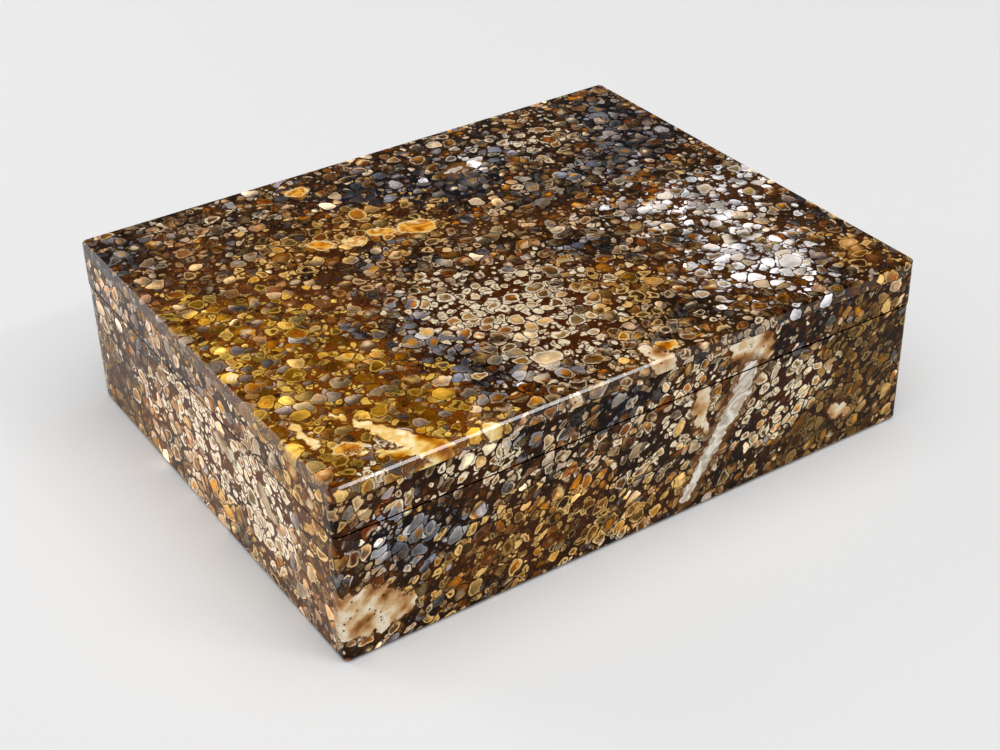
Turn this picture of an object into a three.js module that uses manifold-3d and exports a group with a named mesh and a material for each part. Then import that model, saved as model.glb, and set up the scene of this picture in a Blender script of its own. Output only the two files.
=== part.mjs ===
// A hinged box of polished fossil stone: stone slabs bonded to a wooden carcass, lined with suede.
// Millimetres, +Z up, the long side along X. The front faces -Y and the hinges are at the back, +Y.
// The origin is the middle of the box's underside, on the surface that it stands on.

import * as THREE from 'three';
import { mergeVertices } from 'three/addons/utils/BufferGeometryUtils.js';
import Module from 'manifold-3d';

const wasm = await Module();
wasm.setup();

// Outer sizes of the box
const BOX_LENGTH = 220;
const BOX_WIDTH = 174;
const BOX_HEIGHT = 63.5;
const LID_HEIGHT = 16.8;
const SEAM = 0.3; // open line between the closed lid and the base
const LID_PROUD = 0.2; // the lid stands out this far past the base on every side

// Stone: one thickness of slab, and the edges as they were polished
const SLAB = 5;
const CORNER_RADIUS = 2;
const TOP_CHAMFER = 0.75;
const RIM_EASE = 0.3;
const FOOT_EASE = 0.9;
const ROUND_STEPS = 3;
const CORNER_STEPS = 3;

// Wooden carcass
const RAIL = 7;
const BOTTOM_PANEL = 4;
const LID_PANEL = 3;

// Suede: boards on the walls, soft pads on the floor and under the lid, and a pad to stand on
const LINING = 1.6;
const LINING_DROP = 0.8; // the linings stop this far short of the rim
const FLOOR_PAD = 3;
const LID_PAD = 3;
const STANDING_PAD = 0.6;
const STANDING_PAD_INSET = 1.5;
const STANDING_PAD_CORNER = 3;

// Clearances: a line of glue between bonded faces, and the play round a fitted piece
const GLUE = 0.1;
const FIT = 0.3;

// Hinges: each leaf lies in a housing in the rim, and its knuckle stands behind the back slab
const HINGE_INSET = 45; // from the end of the box to the middle of a hinge
const LEAF_WIDTH = 38;
const LEAF_THICKNESS = 1.6;
const LEAF_MARGIN = 1.3; // wood left between the leaf's end and the inside of the rail
const KNUCKLE_RADIUS = 2.4;
const KNUCKLE_STEPS = 24;
const LID_KNUCKLE = 14;
const PIN_RADIUS = 1.1;
const PIN_PROUD = 0.3;
const OPEN_ANGLE = 95; // degrees, where the two stop bars meet
const STOP_REACH = 4.6; // how far the stop faces reach from the axis
const STOP_DEPTH = 4.4; // how far the stop bars reach above and below the axis
const STOP_GAP = 0.15; // left between the stop faces when the lid is fully open
const WEB_REACH = 1.5; // the stop bar's web starts this far in front of the axis

// Countersunk screws, three in each leaf
const SCREW_EDGE = 6.5; // from the end of a leaf to its outer screws
const SCREW_LENGTH = 6;
const SCREW_TIP = 1.4;
const SHANK_RADIUS = 0.9;
const HEAD_RADIUS = 1.9;
const HEAD_SUNK = 0.05; // the head's top lies this far under the leaf's face
const SLOT_WIDTH = 0.5;
const SLOT_DEPTH = 0.4;
const SCREW_STEPS = 16;

// Heights of the joints, from the surface that the box stands on
const STONE_FOOT = STANDING_PAD + GLUE;
const LID_RIM = BOX_HEIGHT - LID_HEIGHT;
const BASE_RIM = LID_RIM - SEAM;
const BOTTOM_PANEL_TOP = STONE_FOOT + BOTTOM_PANEL;
const TOP_SLAB_FOOT = BOX_HEIGHT - SLAB;
const LID_PANEL_TOP = TOP_SLAB_FOOT - GLUE;
const LID_PANEL_FOOT = LID_PANEL_TOP - LID_PANEL;

// The hinge axis lies level with the middle of the seam, clear of the back of the lid
const AXIS_Y = BOX_WIDTH / 2 + LID_PROUD + FIT + KNUCKLE_RADIUS;
const AXIS_Z = BASE_RIM + SEAM / 2;
const HINGE_X = BOX_LENGTH / 2 - HINGE_INSET;

const PAST = 2; // cutting blocks run this far past the face that they open

const fossilStone = new THREE.MeshStandardMaterial({ color: 0x6a4a2c, roughness: 0.12, metalness: 0 });
const walnut = new THREE.MeshStandardMaterial({ color: 0x4a2f1e, roughness: 0.45, metalness: 0 });
const suede = new THREE.MeshStandardMaterial({ color: 0x5b4636, roughness: 0.95, metalness: 0 });
const brass = new THREE.MeshStandardMaterial({ color: 0xb5904e, roughness: 0.3, metalness: 1 });

// A closed geometry as a solid that can be joined and cut
function toSolid(geometry) {
  const bare = geometry.clone();
  bare.deleteAttribute('normal');
  bare.deleteAttribute('uv');
  const merged = mergeVertices(bare);
  return new wasm.Manifold(new wasm.Mesh({
    numProp: 3,
    vertProperties: Float32Array.from(merged.attributes.position.array),
    triVerts: Uint32Array.from(merged.index.array),
  }));
}

// A solid back as a geometry
function toGeometry(solid) {
  const mesh = solid.getMesh();
  const geometry = new THREE.BufferGeometry();
  geometry.setAttribute('position', new THREE.BufferAttribute(Float32Array.from(mesh.vertProperties), 3));
  geometry.setIndex(new THREE.BufferAttribute(Uint32Array.from(mesh.triVerts), 1));
  geometry.computeVertexNormals();
  return geometry;
}

function named(name, geometry, material) {
  const mesh = new THREE.Mesh(geometry, material);
  mesh.name = name;
  return mesh;
}

// A square-edged block, as a geometry in place, from its two limits along each axis
function block(xs, ys, zs) {
  const box = new THREE.BoxGeometry(xs[1] - xs[0], ys[1] - ys[0], zs[1] - zs[0]);
  return box.translate((xs[0] + xs[1]) / 2, (ys[0] + ys[1]) / 2, (zs[0] + zs[1]) / 2);
}

// A square-edged board as a mesh that is placed by its middle
function board(name, material, xs, ys, zs) {
  const mesh = named(name, new THREE.BoxGeometry(xs[1] - xs[0], ys[1] - ys[0], zs[1] - zs[0]), material);
  mesh.position.set((xs[0] + xs[1]) / 2, (ys[0] + ys[1]) / 2, (zs[0] + zs[1]) / 2);
  return mesh;
}

function roundedRectangle(length, width, radius) {
  const x = length / 2 - radius;
  const y = width / 2 - radius;
  const shape = new THREE.Shape();
  shape.absarc(x, y, radius, 0, Math.PI / 2);
  shape.absarc(-x, y, radius, Math.PI / 2, Math.PI);
  shape.absarc(-x, -y, radius, Math.PI, Math.PI * 1.5);
  shape.absarc(x, -y, radius, Math.PI * 1.5, Math.PI * 2);
  return shape;
}

// A block with rounded upright corners, whose edges at both ends are eased in the given steps
function easedBlock(length, width, foot, top, ease, steps) {
  const geometry = new THREE.ExtrudeGeometry(roundedRectangle(length, width, CORNER_RADIUS), {
    depth: top - foot - 2 * ease,
    curveSegments: CORNER_STEPS,
    bevelThickness: ease,
    bevelSize: ease,
    bevelOffset: -ease,
    bevelSegments: steps,
  });
  return toSolid(geometry.translate(0, 0, foot + ease));
}

// The whole outside of the base or the lid, as it was polished after the slabs were bonded
function polishedBody(proud, foot, top, footEase, footSteps, topEase, topSteps) {
  const length = BOX_LENGTH + 2 * proud;
  const width = BOX_WIDTH + 2 * proud;
  const lower = easedBlock(length, width, foot, top + PAST, footEase, footSteps);
  const upper = easedBlock(length, width, foot - PAST, top, topEase, topSteps);
  return lower.intersect(upper);
}

// Four walls round a rectangle: the long ones run its full length and the short ones fit between them
function wallRing(halfLength, halfWidth, thickness) {
  const insideX = halfLength - thickness;
  const insideY = halfWidth - thickness;
  const shortWall = [-insideY + GLUE, insideY - GLUE];
  return [
    { side: 'front', xs: [-halfLength, halfLength], ys: [-halfWidth, -insideY] },
    { side: 'back', xs: [-halfLength, halfLength], ys: [insideY, halfWidth] },
    { side: 'left', xs: [-halfLength, -insideX], ys: shortWall },
    { side: 'right', xs: [insideX, halfLength], ys: shortWall },
  ];
}

// Half lengths and widths of one shell, from the stone inwards; the lid's are larger than the base's
function shellSizes(proud) {
  const stone = { x: BOX_LENGTH / 2 + proud, y: BOX_WIDTH / 2 + proud };
  const inward = (size, step) => ({ x: size.x - step, y: size.y - step });
  const rail = inward(stone, SLAB + GLUE);
  const lining = inward(rail, RAIL + GLUE);
  const pad = inward(lining, LINING + FIT);
  return { stone, rail, lining, pad };
}

const baseSizes = shellSizes(0);
const lidSizes = shellSizes(LID_PROUD);

// Where the hinge leaf of one shell ends inside the rail, and its row of screws, measured from the axis
function leafPlaces(sizes) {
  const end = sizes.rail.y - RAIL + LEAF_MARGIN - AXIS_Y;
  const outer = sizes.rail.y - AXIS_Y;
  return { end, screwRow: (end + outer) / 2 };
}

const hingeCentres = { left: -HINGE_X, right: HINGE_X };
const outerScrew = LEAF_WIDTH / 2 - SCREW_EDGE;
const screwOffsets = [-outerScrew, 0, outerScrew];

// The housings for both leaves and the bores for their screws; up is 1 for the lid and -1 for the base
function hingeCuts(sizes, rim, up) {
  const leaf = leafPlaces(sizes);
  const depth = rim + up * (LEAF_THICKNESS + GLUE);
  const past = rim - up * PAST;
  const boreEnd = rim + up * (SCREW_LENGTH + FIT);
  let cuts = null;
  for (const centre of Object.values(hingeCentres)) {
    const housing = toSolid(block(
      [centre - LEAF_WIDTH / 2 - FIT, centre + LEAF_WIDTH / 2 + FIT],
      [AXIS_Y + leaf.end - FIT, sizes.stone.y + PAST],
      [Math.min(depth, past), Math.max(depth, past)],
    ));
    cuts = cuts ? cuts.add(housing) : housing;
    for (const offset of screwOffsets) {
      const bore = new THREE.CylinderGeometry(
        SHANK_RADIUS + FIT, SHANK_RADIUS + FIT, Math.abs(boreEnd - past), SCREW_STEPS,
      );
      bore.rotateX(Math.PI / 2);
      bore.translate(centre + offset, AXIS_Y + leaf.screwRow, (boreEnd + past) / 2);
      cuts = cuts.add(toSolid(bore));
    }
  }
  return cuts;
}

// Stone walls of one shell: each is its share of the polished body, and the back one is housed for hinges
function stoneWalls(body, sizes, polished, foot, top, cuts) {
  return wallRing(sizes.stone.x, sizes.stone.y, SLAB).map(({ side, xs, ys }) => {
    const share = polished.intersect(toSolid(block(xs, ys, [foot, top])));
    const solid = side === 'back' ? share.subtract(cuts) : share;
    return named(`${body}_${side}_slab`, toGeometry(solid), fossilStone);
  });
}

function woodRails(body, sizes, foot, top, cuts) {
  return wallRing(sizes.rail.x, sizes.rail.y, RAIL).map(({ side, xs, ys }) => {
    const name = `${body}_${side}_rail`;
    if (side !== 'back') {
      return board(name, walnut, xs, ys, [foot, top]);
    }
    return named(name, toGeometry(toSolid(block(xs, ys, [foot, top])).subtract(cuts)), walnut);
  });
}

function suedeLinings(body, sizes, foot, top) {
  return wallRing(sizes.lining.x, sizes.lining.y, LINING).map(({ side, xs, ys }) => (
    board(`${body}_${side}_lining`, suede, xs, ys, [foot, top])
  ));
}

function centredBoard(name, material, half, foot, top) {
  return board(name, material, [-half.x, half.x], [-half.y, half.y], [foot, top]);
}

// The pad that the box stands on, set in from the stone so that it doesn't show
function standingPad() {
  const length = BOX_LENGTH - 2 * STANDING_PAD_INSET;
  const width = BOX_WIDTH - 2 * STANDING_PAD_INSET;
  const geometry = new THREE.ExtrudeGeometry(roundedRectangle(length, width, STANDING_PAD_CORNER), {
    depth: STANDING_PAD,
    curveSegments: CORNER_STEPS,
    bevelEnabled: false,
  });
  return named('base_standing_pad', toGeometry(toSolid(geometry)), suede);
}

// A bar along X with the given section, whose points are [y, z] from the hinge axis
function barAlongX(points, from, to) {
  const shape = new THREE.Shape(points.map(([y, z]) => new THREE.Vector2(y, z)));
  const geometry = new THREE.ExtrudeGeometry(shape, { depth: to - from, bevelEnabled: false });
  const turn = new THREE.Matrix4().makeBasis(
    new THREE.Vector3(0, 1, 0), new THREE.Vector3(0, 0, 1), new THREE.Vector3(1, 0, 0),
  );
  return toSolid(geometry.applyMatrix4(turn).translate(from, 0, 0));
}

function cylinderAlongX(radius, from, to) {
  const geometry = new THREE.CylinderGeometry(radius, radius, to - from, KNUCKLE_STEPS);
  return toSolid(geometry.rotateZ(Math.PI / 2).translate((from + to) / 2, 0, 0));
}

// A wood screw with a countersunk, slotted head, its head's top at the origin and its tip below
function screwGeometry() {
  const cone = HEAD_RADIUS - SHANK_RADIUS;
  const profile = [
    [0, -SCREW_LENGTH],
    [SHANK_RADIUS, -SCREW_LENGTH + SCREW_TIP],
    [SHANK_RADIUS, -cone],
    [HEAD_RADIUS, 0],
    [0, 0],
  ].map(([radius, z]) => new THREE.Vector2(radius, z));
  const body = toSolid(new THREE.LatheGeometry(profile, SCREW_STEPS).rotateX(Math.PI / 2));
  const slot = toSolid(block(
    [-HEAD_RADIUS - PAST, HEAD_RADIUS + PAST],
    [-SLOT_WIDTH / 2, SLOT_WIDTH / 2],
    [-SLOT_DEPTH, PAST],
  ));
  return toGeometry(body.subtract(slot));
}

// The countersunk hole for a screw in a leaf, its wide mouth at the leaf's face
function screwHole() {
  const mouth = HEAD_RADIUS + FIT;
  const throat = SHANK_RADIUS + FIT;
  const profile = [
    [0, -LEAF_THICKNESS - PAST],
    [throat, -LEAF_THICKNESS - PAST],
    [throat, throat - mouth],
    [mouth, 0],
    [mouth, PAST],
    [0, PAST],
  ].map(([radius, z]) => new THREE.Vector2(radius, z));
  return new THREE.LatheGeometry(profile, SCREW_STEPS).rotateX(Math.PI / 2);
}

// Section of a stop bar: its slanted face meets the other leaf's when the lid is fully open
function stopSection(up, fromAxis) {
  const half = THREE.MathUtils.degToRad(OPEN_ANGLE / 2);
  const along = (reach) => [
    reach * Math.cos(half) - Math.sin(half) * STOP_GAP / 2,
    up * (reach * Math.sin(half) + Math.cos(half) * STOP_GAP / 2),
  ];
  const clear = KNUCKLE_RADIUS + FIT;
  const outer = along(STOP_REACH);
  if (fromAxis) {
    return [[0, 0], outer, [outer[0], up * STOP_DEPTH], [-WEB_REACH, up * STOP_DEPTH], [-WEB_REACH, 0]];
  }
  const inner = along(clear + STOP_GAP);
  const heel = [GLUE, up * (clear + STOP_GAP)];
  return [inner, outer, [outer[0], up * STOP_DEPTH], [heel[0], up * STOP_DEPTH], heel];
}

// One hinge leaf, measured from the hinge axis: plate, knuckles, stop bar, pin bore and screw holes
function leafGeometry(sizes, up, knuckles) {
  const leaf = leafPlaces(sizes);
  const half = LEAF_WIDTH / 2;
  const face = up * SEAM / 2;
  const back = face + up * LEAF_THICKNESS;
  const zs = [Math.min(face, back), Math.max(face, back)];
  const plate = toSolid(block([-half, half], [leaf.end, 0], zs));
  let solid = plate.subtract(cylinderAlongX(KNUCKLE_RADIUS + FIT, -half - PAST, half + PAST));
  solid = solid.add(barAlongX(stopSection(up, false), -half, half));
  for (const [from, to] of knuckles) {
    const bridge = toSolid(block([from, to], [-KNUCKLE_RADIUS - 2 * FIT, 0], zs));
    solid = solid.add(cylinderAlongX(KNUCKLE_RADIUS, from, to));
    solid = solid.add(barAlongX(stopSection(up, true), from, to)).add(bridge);
  }
  solid = solid.subtract(cylinderAlongX(PIN_RADIUS + FIT, -half - PAST, half + PAST));
  for (const offset of screwOffsets) {
    const hole = screwHole();
    if (up > 0) {
      hole.rotateX(Math.PI);
    }
    solid = solid.subtract(toSolid(hole.translate(offset, leaf.screwRow, face)));
  }
  return toGeometry(solid);
}

// The pin, a little longer than the hinge, with its ends rounded over
function pinGeometry() {
  const half = LEAF_WIDTH / 2 + PIN_PROUD;
  const profile = [
    [0, -half],
    [PIN_RADIUS - PIN_PROUD, -half],
    [PIN_RADIUS, -half + PIN_PROUD],
    [PIN_RADIUS, half - PIN_PROUD],
    [PIN_RADIUS - PIN_PROUD, half],
    [0, half],
  ].map(([radius, x]) => new THREE.Vector2(radius, x));
  return toGeometry(toSolid(new THREE.LatheGeometry(profile, SCREW_STEPS).rotateZ(Math.PI / 2)));
}

// The lid's knuckle is in the middle of the hinge, between the base's two
const lidKnuckles = [[-LID_KNUCKLE / 2, LID_KNUCKLE / 2]];
const baseKnuckles = [
  [-LEAF_WIDTH / 2, -LID_KNUCKLE / 2 - FIT],
  [LID_KNUCKLE / 2 + FIT, LEAF_WIDTH / 2],
];

// The leaves and screws of one shell, in a group at each hinge
function hingeSide(body, sizes, up, knuckles) {
  return Object.entries(hingeCentres).map(([side, centre]) => {
    const group = new THREE.Group();
    group.position.set(centre, AXIS_Y, AXIS_Z);
    group.add(named(`hinge_${side}_${body}_leaf`, leafGeometry(sizes, up, knuckles), brass));
    screwOffsets.forEach((offset, index) => {
      const screw = named(`hinge_${side}_${body}_screw_${index + 1}`, screwGeometry(), brass);
      screw.position.set(offset, leafPlaces(sizes).screwRow, up * (SEAM / 2 + HEAD_SUNK));
      screw.rotation.x = up > 0 ? Math.PI : 0;
      group.add(screw);
    });
    return group;
  });
}

function hingePins() {
  return Object.entries(hingeCentres).map(([side, centre]) => {
    const pin = named(`hinge_${side}_pin`, pinGeometry(), brass);
    pin.position.set(centre, AXIS_Y, AXIS_Z);
    return pin;
  });
}

// The base: stone walls round a wooden tray, lined, on its standing pad
function buildBase() {
  const polished = polishedBody(0, STONE_FOOT, BASE_RIM, FOOT_EASE, ROUND_STEPS, RIM_EASE, ROUND_STEPS);
  const cuts = hingeCuts(baseSizes, BASE_RIM, -1);
  const floor = BOTTOM_PANEL_TOP + GLUE;
  const base = new THREE.Group();
  base.add(...stoneWalls('base', baseSizes, polished, STONE_FOOT, BASE_RIM, cuts));
  base.add(...woodRails('base', baseSizes, floor, BASE_RIM, cuts));
  base.add(centredBoard('base_bottom_panel', walnut, baseSizes.rail, STONE_FOOT, BOTTOM_PANEL_TOP));
  base.add(...suedeLinings('base', baseSizes, floor, BASE_RIM - LINING_DROP));
  base.add(centredBoard('base_floor_pad', suede, baseSizes.pad, floor, floor + FLOOR_PAD));
  base.add(standingPad());
  base.add(...hingeSide('base', baseSizes, -1, baseKnuckles), ...hingePins());
  return base;
}

// The lid: a top slab over four edge strips, bonded to a shallow wooden tray, lined
function buildLid() {
  const polished = polishedBody(LID_PROUD, LID_RIM, BOX_HEIGHT, RIM_EASE, ROUND_STEPS, TOP_CHAMFER, 1);
  const cuts = hingeCuts(lidSizes, LID_RIM, 1);
  const ceiling = LID_PANEL_FOOT - GLUE;
  const { stone } = lidSizes;
  const topShare = toSolid(block([-stone.x, stone.x], [-stone.y, stone.y], [TOP_SLAB_FOOT, BOX_HEIGHT]));
  const lid = new THREE.Group();
  lid.add(named('lid_top_slab', toGeometry(polished.intersect(topShare)), fossilStone));
  lid.add(...stoneWalls('lid', lidSizes, polished, LID_RIM, TOP_SLAB_FOOT - GLUE, cuts));
  lid.add(centredBoard('lid_panel', walnut, lidSizes.rail, LID_PANEL_FOOT, LID_PANEL_TOP));
  lid.add(...woodRails('lid', lidSizes, LID_RIM, ceiling, cuts));
  lid.add(...suedeLinings('lid', lidSizes, LID_RIM + LINING_DROP, ceiling));
  lid.add(centredBoard('lid_pad', suede, lidSizes.pad, ceiling - LID_PAD, ceiling));
  lid.add(...hingeSide('lid', lidSizes, 1, lidKnuckles));
  return lid;
}

const group = new THREE.Group();
group.add(buildBase(), buildLid());

export default group;
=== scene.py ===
# %% [markdown]
# # A box of polished fossil stone
#
# The box is a wooden carcass clad in slabs of fossil palm wood, a stone full of round cells. It is
# lined with suede and has two brass hinges. The imported model gives the exact place of every part,
# and this lesson dresses it for its picture: it makes the camera, the floor and the light first,
# then the stone, which is nearly all that a viewer sees, and last the inside.
#
# The model is loaded as a fixed frame. Its box is kept now and printed.

# %% Load the frame
import math
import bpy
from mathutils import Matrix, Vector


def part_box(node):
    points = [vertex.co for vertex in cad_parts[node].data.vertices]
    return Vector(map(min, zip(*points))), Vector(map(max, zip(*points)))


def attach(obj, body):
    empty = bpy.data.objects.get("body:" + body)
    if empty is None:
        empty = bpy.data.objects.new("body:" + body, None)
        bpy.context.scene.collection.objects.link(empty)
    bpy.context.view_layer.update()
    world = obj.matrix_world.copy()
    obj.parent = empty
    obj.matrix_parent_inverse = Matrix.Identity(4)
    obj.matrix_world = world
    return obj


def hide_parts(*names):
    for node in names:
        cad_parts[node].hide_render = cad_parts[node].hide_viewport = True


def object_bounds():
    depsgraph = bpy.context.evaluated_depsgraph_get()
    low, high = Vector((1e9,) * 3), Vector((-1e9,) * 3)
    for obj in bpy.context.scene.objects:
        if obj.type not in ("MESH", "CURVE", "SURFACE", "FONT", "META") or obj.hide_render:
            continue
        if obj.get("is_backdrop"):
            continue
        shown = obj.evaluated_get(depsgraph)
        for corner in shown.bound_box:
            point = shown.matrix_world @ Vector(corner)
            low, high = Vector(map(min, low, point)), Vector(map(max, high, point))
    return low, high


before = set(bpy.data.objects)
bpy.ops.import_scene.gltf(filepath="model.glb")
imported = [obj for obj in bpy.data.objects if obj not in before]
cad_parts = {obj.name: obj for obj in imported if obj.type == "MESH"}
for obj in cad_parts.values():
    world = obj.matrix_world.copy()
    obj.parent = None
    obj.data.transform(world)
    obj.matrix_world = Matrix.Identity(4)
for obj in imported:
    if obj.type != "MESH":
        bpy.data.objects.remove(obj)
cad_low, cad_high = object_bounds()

from types import SimpleNamespace

import bpy
import bmesh
import numpy as np
from mathutils import Matrix, Vector

MM = 0.001
print("box of the packed model in mm:", [round((b - a) / MM, 1) for a, b in zip(cad_low, cad_high)])

# %% [markdown]
# ## The camera
#
# The photograph was taken from the front left, looking down on the box. The lens and the place come
# from the straight edges of the box in the picture: three sets of parallel lines fix where the
# camera stood and how far off, once the length of the box is known. A camera is placed by its
# position and by the directions in which it looks and holds its upper edge.

# %% Camera
# The place is in metres, the lens and the width of the sensor in mm.
CAMERA_PLACE = Vector((-0.28361, -0.43969, 0.35528))
CAMERA_LOOKS = Vector((0.456698, 0.701362, -0.547283))
CAMERA_UP = Vector((0.317515, 0.446163, 0.836734))
LENS = 64.21
SENSOR = 36.0
NEAREST = 0.01
FARTHEST = 50.0


def camera_turn(looks, up):
    """The rotation whose third axis points against the view and whose first is to the right."""
    back = -looks.normalized()
    right = looks.cross(up).normalized()
    return Matrix((right, back.cross(right), back)).transposed()


camera = bpy.data.objects.new("camera", bpy.data.cameras.new("camera"))
camera.data.lens = LENS
camera.data.sensor_width = SENSOR
camera.data.clip_start = NEAREST
camera.data.clip_end = FARTHEST
camera.matrix_world = Matrix.Translation(CAMERA_PLACE) @ camera_turn(CAMERA_LOOKS, CAMERA_UP).to_4x4()
bpy.context.scene.collection.objects.link(camera)
bpy.context.scene.camera = camera
print("camera stands", round(CAMERA_PLACE.length, 3), "m from the middle of the box's foot")

# %% [markdown]
# ## Small tools
#
# A material in Blender is a tree of nodes. One small function adds a node, sets its properties and
# links its inputs, so a tree reads from top to bottom like a recipe. A Color Ramp node turns a number
# from 0 to 1 into a colour, and the same function fills in its stops. Colours are written as the hex
# numbers that a paint program shows, and one function turns them into the linear light values that
# the renderer works with.

# %% Colours, nodes and meshes
SHADER = "ShaderNode"


def linear(code):
    """Linear light of a hex colour: each part c is ((c + 0.055) / 1.055) to the power 2.4."""
    parts = np.array([int(code[i:i + 2], 16) for i in (1, 3, 5)]) / 255
    light = np.where(parts <= 0.04045, parts / 12.92, ((parts + 0.055) / 1.055) ** 2.4)
    return (*light.tolist(), 1.0)


def add(tree, kind, *values, stops=(), **settings):
    """Adds a node. Its values go into the open sockets in order, or by name where one is a dict.

    The stops of a Color Ramp lie evenly from 0 to 1. Each is a hex code, or a code and an alpha."""
    node = tree.nodes.new(SHADER + kind)
    for key, setting in settings.items():
        setattr(node, key, setting)
    if stops:
        elements = node.color_ramp.elements
        while len(elements) < len(stops):
            elements.new(0.5)
        for place, stop in enumerate(stops):
            code, alpha = stop if isinstance(stop, tuple) else (stop, 1.0)
            elements[place].position = place / (len(stops) - 1)
            elements[place].color = (*linear(code)[:3], alpha)
    sockets = [socket for socket in node.inputs if socket.enabled]
    pairs = []
    for place, value in enumerate(values):
        if isinstance(value, dict):
            pairs += [(node.inputs[name], given) for name, given in value.items()]
        else:
            pairs.append((sockets[place], value))
    for socket, value in pairs:
        if isinstance(value, bpy.types.Node):
            value = next(output for output in value.outputs if output.enabled)
        if isinstance(value, bpy.types.NodeSocket):
            tree.links.new(value, socket)
        elif value is not None:
            socket.default_value = linear(value) if isinstance(value, str) else value
    return node


def new_material(name):
    """An empty material with its node tree."""
    material = bpy.data.materials.new(name)
    material.use_nodes = True
    material.node_tree.nodes.clear()
    return material, material.node_tree


def new_piece(name, points, faces):
    """A smooth mesh object from an array of points in metres and a list of faces."""
    mesh = bpy.data.meshes.new(name)
    mesh.from_pydata(points.tolist(), [], faces)
    mesh.shade_smooth()
    piece = bpy.data.objects.new(name, mesh)
    bpy.context.scene.collection.objects.link(piece)
    return piece


print("middle grey #808080 is", round(linear("#808080")[0], 3), "of white in linear light")

# %% [markdown]
# ## Floor
#
# The box stands on matt studio paper, a pale sheet with no gloss, so the eye sees the soft shadow of
# the box on it and no reflection. Its tooth is drawn about 1 mm wide, coarser than that of real
# paper, so that it shows. A plain square is enough, if it is so large that no view sees its end.

# %% Floor
FLOOR_HALF = 12.0
TOOTH_PER_METRE = 900.0
floor = new_piece(
    "studio_floor",
    np.array([(-1, -1, 0), (1, -1, 0), (1, 1, 0), (-1, 1, 0)]) * FLOOR_HALF,
    [(0, 1, 2, 3)],
)
paper, tree = new_material("matt_studio_paper")
place = add(tree, "TexCoord").outputs["Object"]
tooth = add(tree, "TexNoise", {"Vector": place, "Scale": TOOTH_PER_METRE, "Detail": 2.0})
tone = add(tree, "Mix", tooth.outputs["Fac"], "#dddddd", "#e1e1e1", data_type="RGBA")
surface = add(tree, "BsdfPrincipled", {"Base Color": tone, "Roughness": 0.9, "Specular IOR Level": 0.1})
add(tree, "OutputMaterial", surface)
floor.data.materials.append(paper)
floor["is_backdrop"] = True
print("floor is", 2 * FLOOR_HALF, "m wide")

# %% [markdown]
# ## Light
#
# Most of the light is soft and comes from above. A large softbox stands on the left, a smaller one
# behind on the left, and a narrow strip hangs in front on the right, for the bright line along the
# chamfer of the lid. The part of the room that the polished top mirrors to the camera, behind the
# box on the right, is left dark: that is what keeps the colours of a polished stone deep, and a
# photographer of jewellery does the same. The last lines set the light value that the picture shows
# as black, which gives the dark browns of the stone their depth.

# %% Lights
# The overhead light is spread over 80 degrees of the sky. A softbox has the two ends of its middle
# line and its height in metres, and its power in watts.
SUN = SimpleNamespace(toward=Vector((-0.07, -0.24, 0.968)), strength=2.77, spread=80)
SOFTBOXES = (
    SimpleNamespace(
        name="left", ends=((-2.05, -1.5, 0.6), (-2.05, -0.3, 0.6)), height=0.9, power=3.5),
    SimpleNamespace(
        name="front", ends=((0.36, -0.91, 1.06), (0.74, -0.83, 0.96)), height=0.10, power=2.4),
    SimpleNamespace(
        name="back_left", ends=((-1.0, 0.8, 0.65), (-0.56, 1.2, 0.65)), height=0.6, power=3.2),
)
ROOM_LIGHT = 0.118
DARKROOM = 0.005


def new_light(name, kind, toward, along):
    """A light that shines from its direction onto the box, with its width along the other vector."""
    light = bpy.data.objects.new("light_" + name, bpy.data.lights.new(name, kind))
    up = toward.cross(along).normalized()
    across = up.cross(toward).normalized()
    light.matrix_world = Matrix.Translation(toward) @ Matrix(
        (across, up, toward.normalized())).transposed().to_4x4()
    bpy.context.scene.collection.objects.link(light)
    return light.data


sun = new_light("overhead", "SUN", SUN.toward, Vector((1, 0, 0)))
sun.energy = SUN.strength
sun.angle = math.radians(SUN.spread)
for box in SOFTBOXES:
    first, last = (Vector(end) for end in box.ends)
    softbox = new_light(box.name, "AREA", (first + last) / 2, last - first)
    softbox.shape = "RECTANGLE"
    softbox.size = (last - first).length
    softbox.size_y = box.height
    softbox.energy = box.power
world = bpy.data.worlds.new("dim_room")
world.use_nodes = True
room = world.node_tree.nodes["Background"]
room.inputs["Color"].default_value = linear("#f4f6fb")
room.inputs["Strength"].default_value = ROOM_LIGHT
bpy.context.scene.world = world
shown = bpy.context.scene.view_settings
shown.view_transform = "Standard"
shown.use_curve_mapping = True
shown.curve_mapping.black_level = (DARKROOM,) * 3
shown.curve_mapping.update()
print("softboxes:", *(box.name for box in SOFTBOXES))

# %% [markdown]
# ## Where the stone changes
#
# No two parts of the slab look alike: a golden field lies at the left of the lid, white cells crowd
# at the right, and slate-grey clouds cross the back. Such fields are the plan of the pattern, so
# they are drawn as named ovals, and each point of a slab's mesh stores how deep it lies in
# each field. The single cells are far finer than the mesh, so they are left to the shader.

# %% Fields of colour on the top, the front and the left
def oval(x, y, across, along, turn=0, depth=1.0):
    """An oval with its middle, half width and half height in mm, its turn in degrees, its depth."""
    return SimpleNamespace(x=x, y=y, across=across, along=along, turn=turn, depth=depth)


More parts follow.
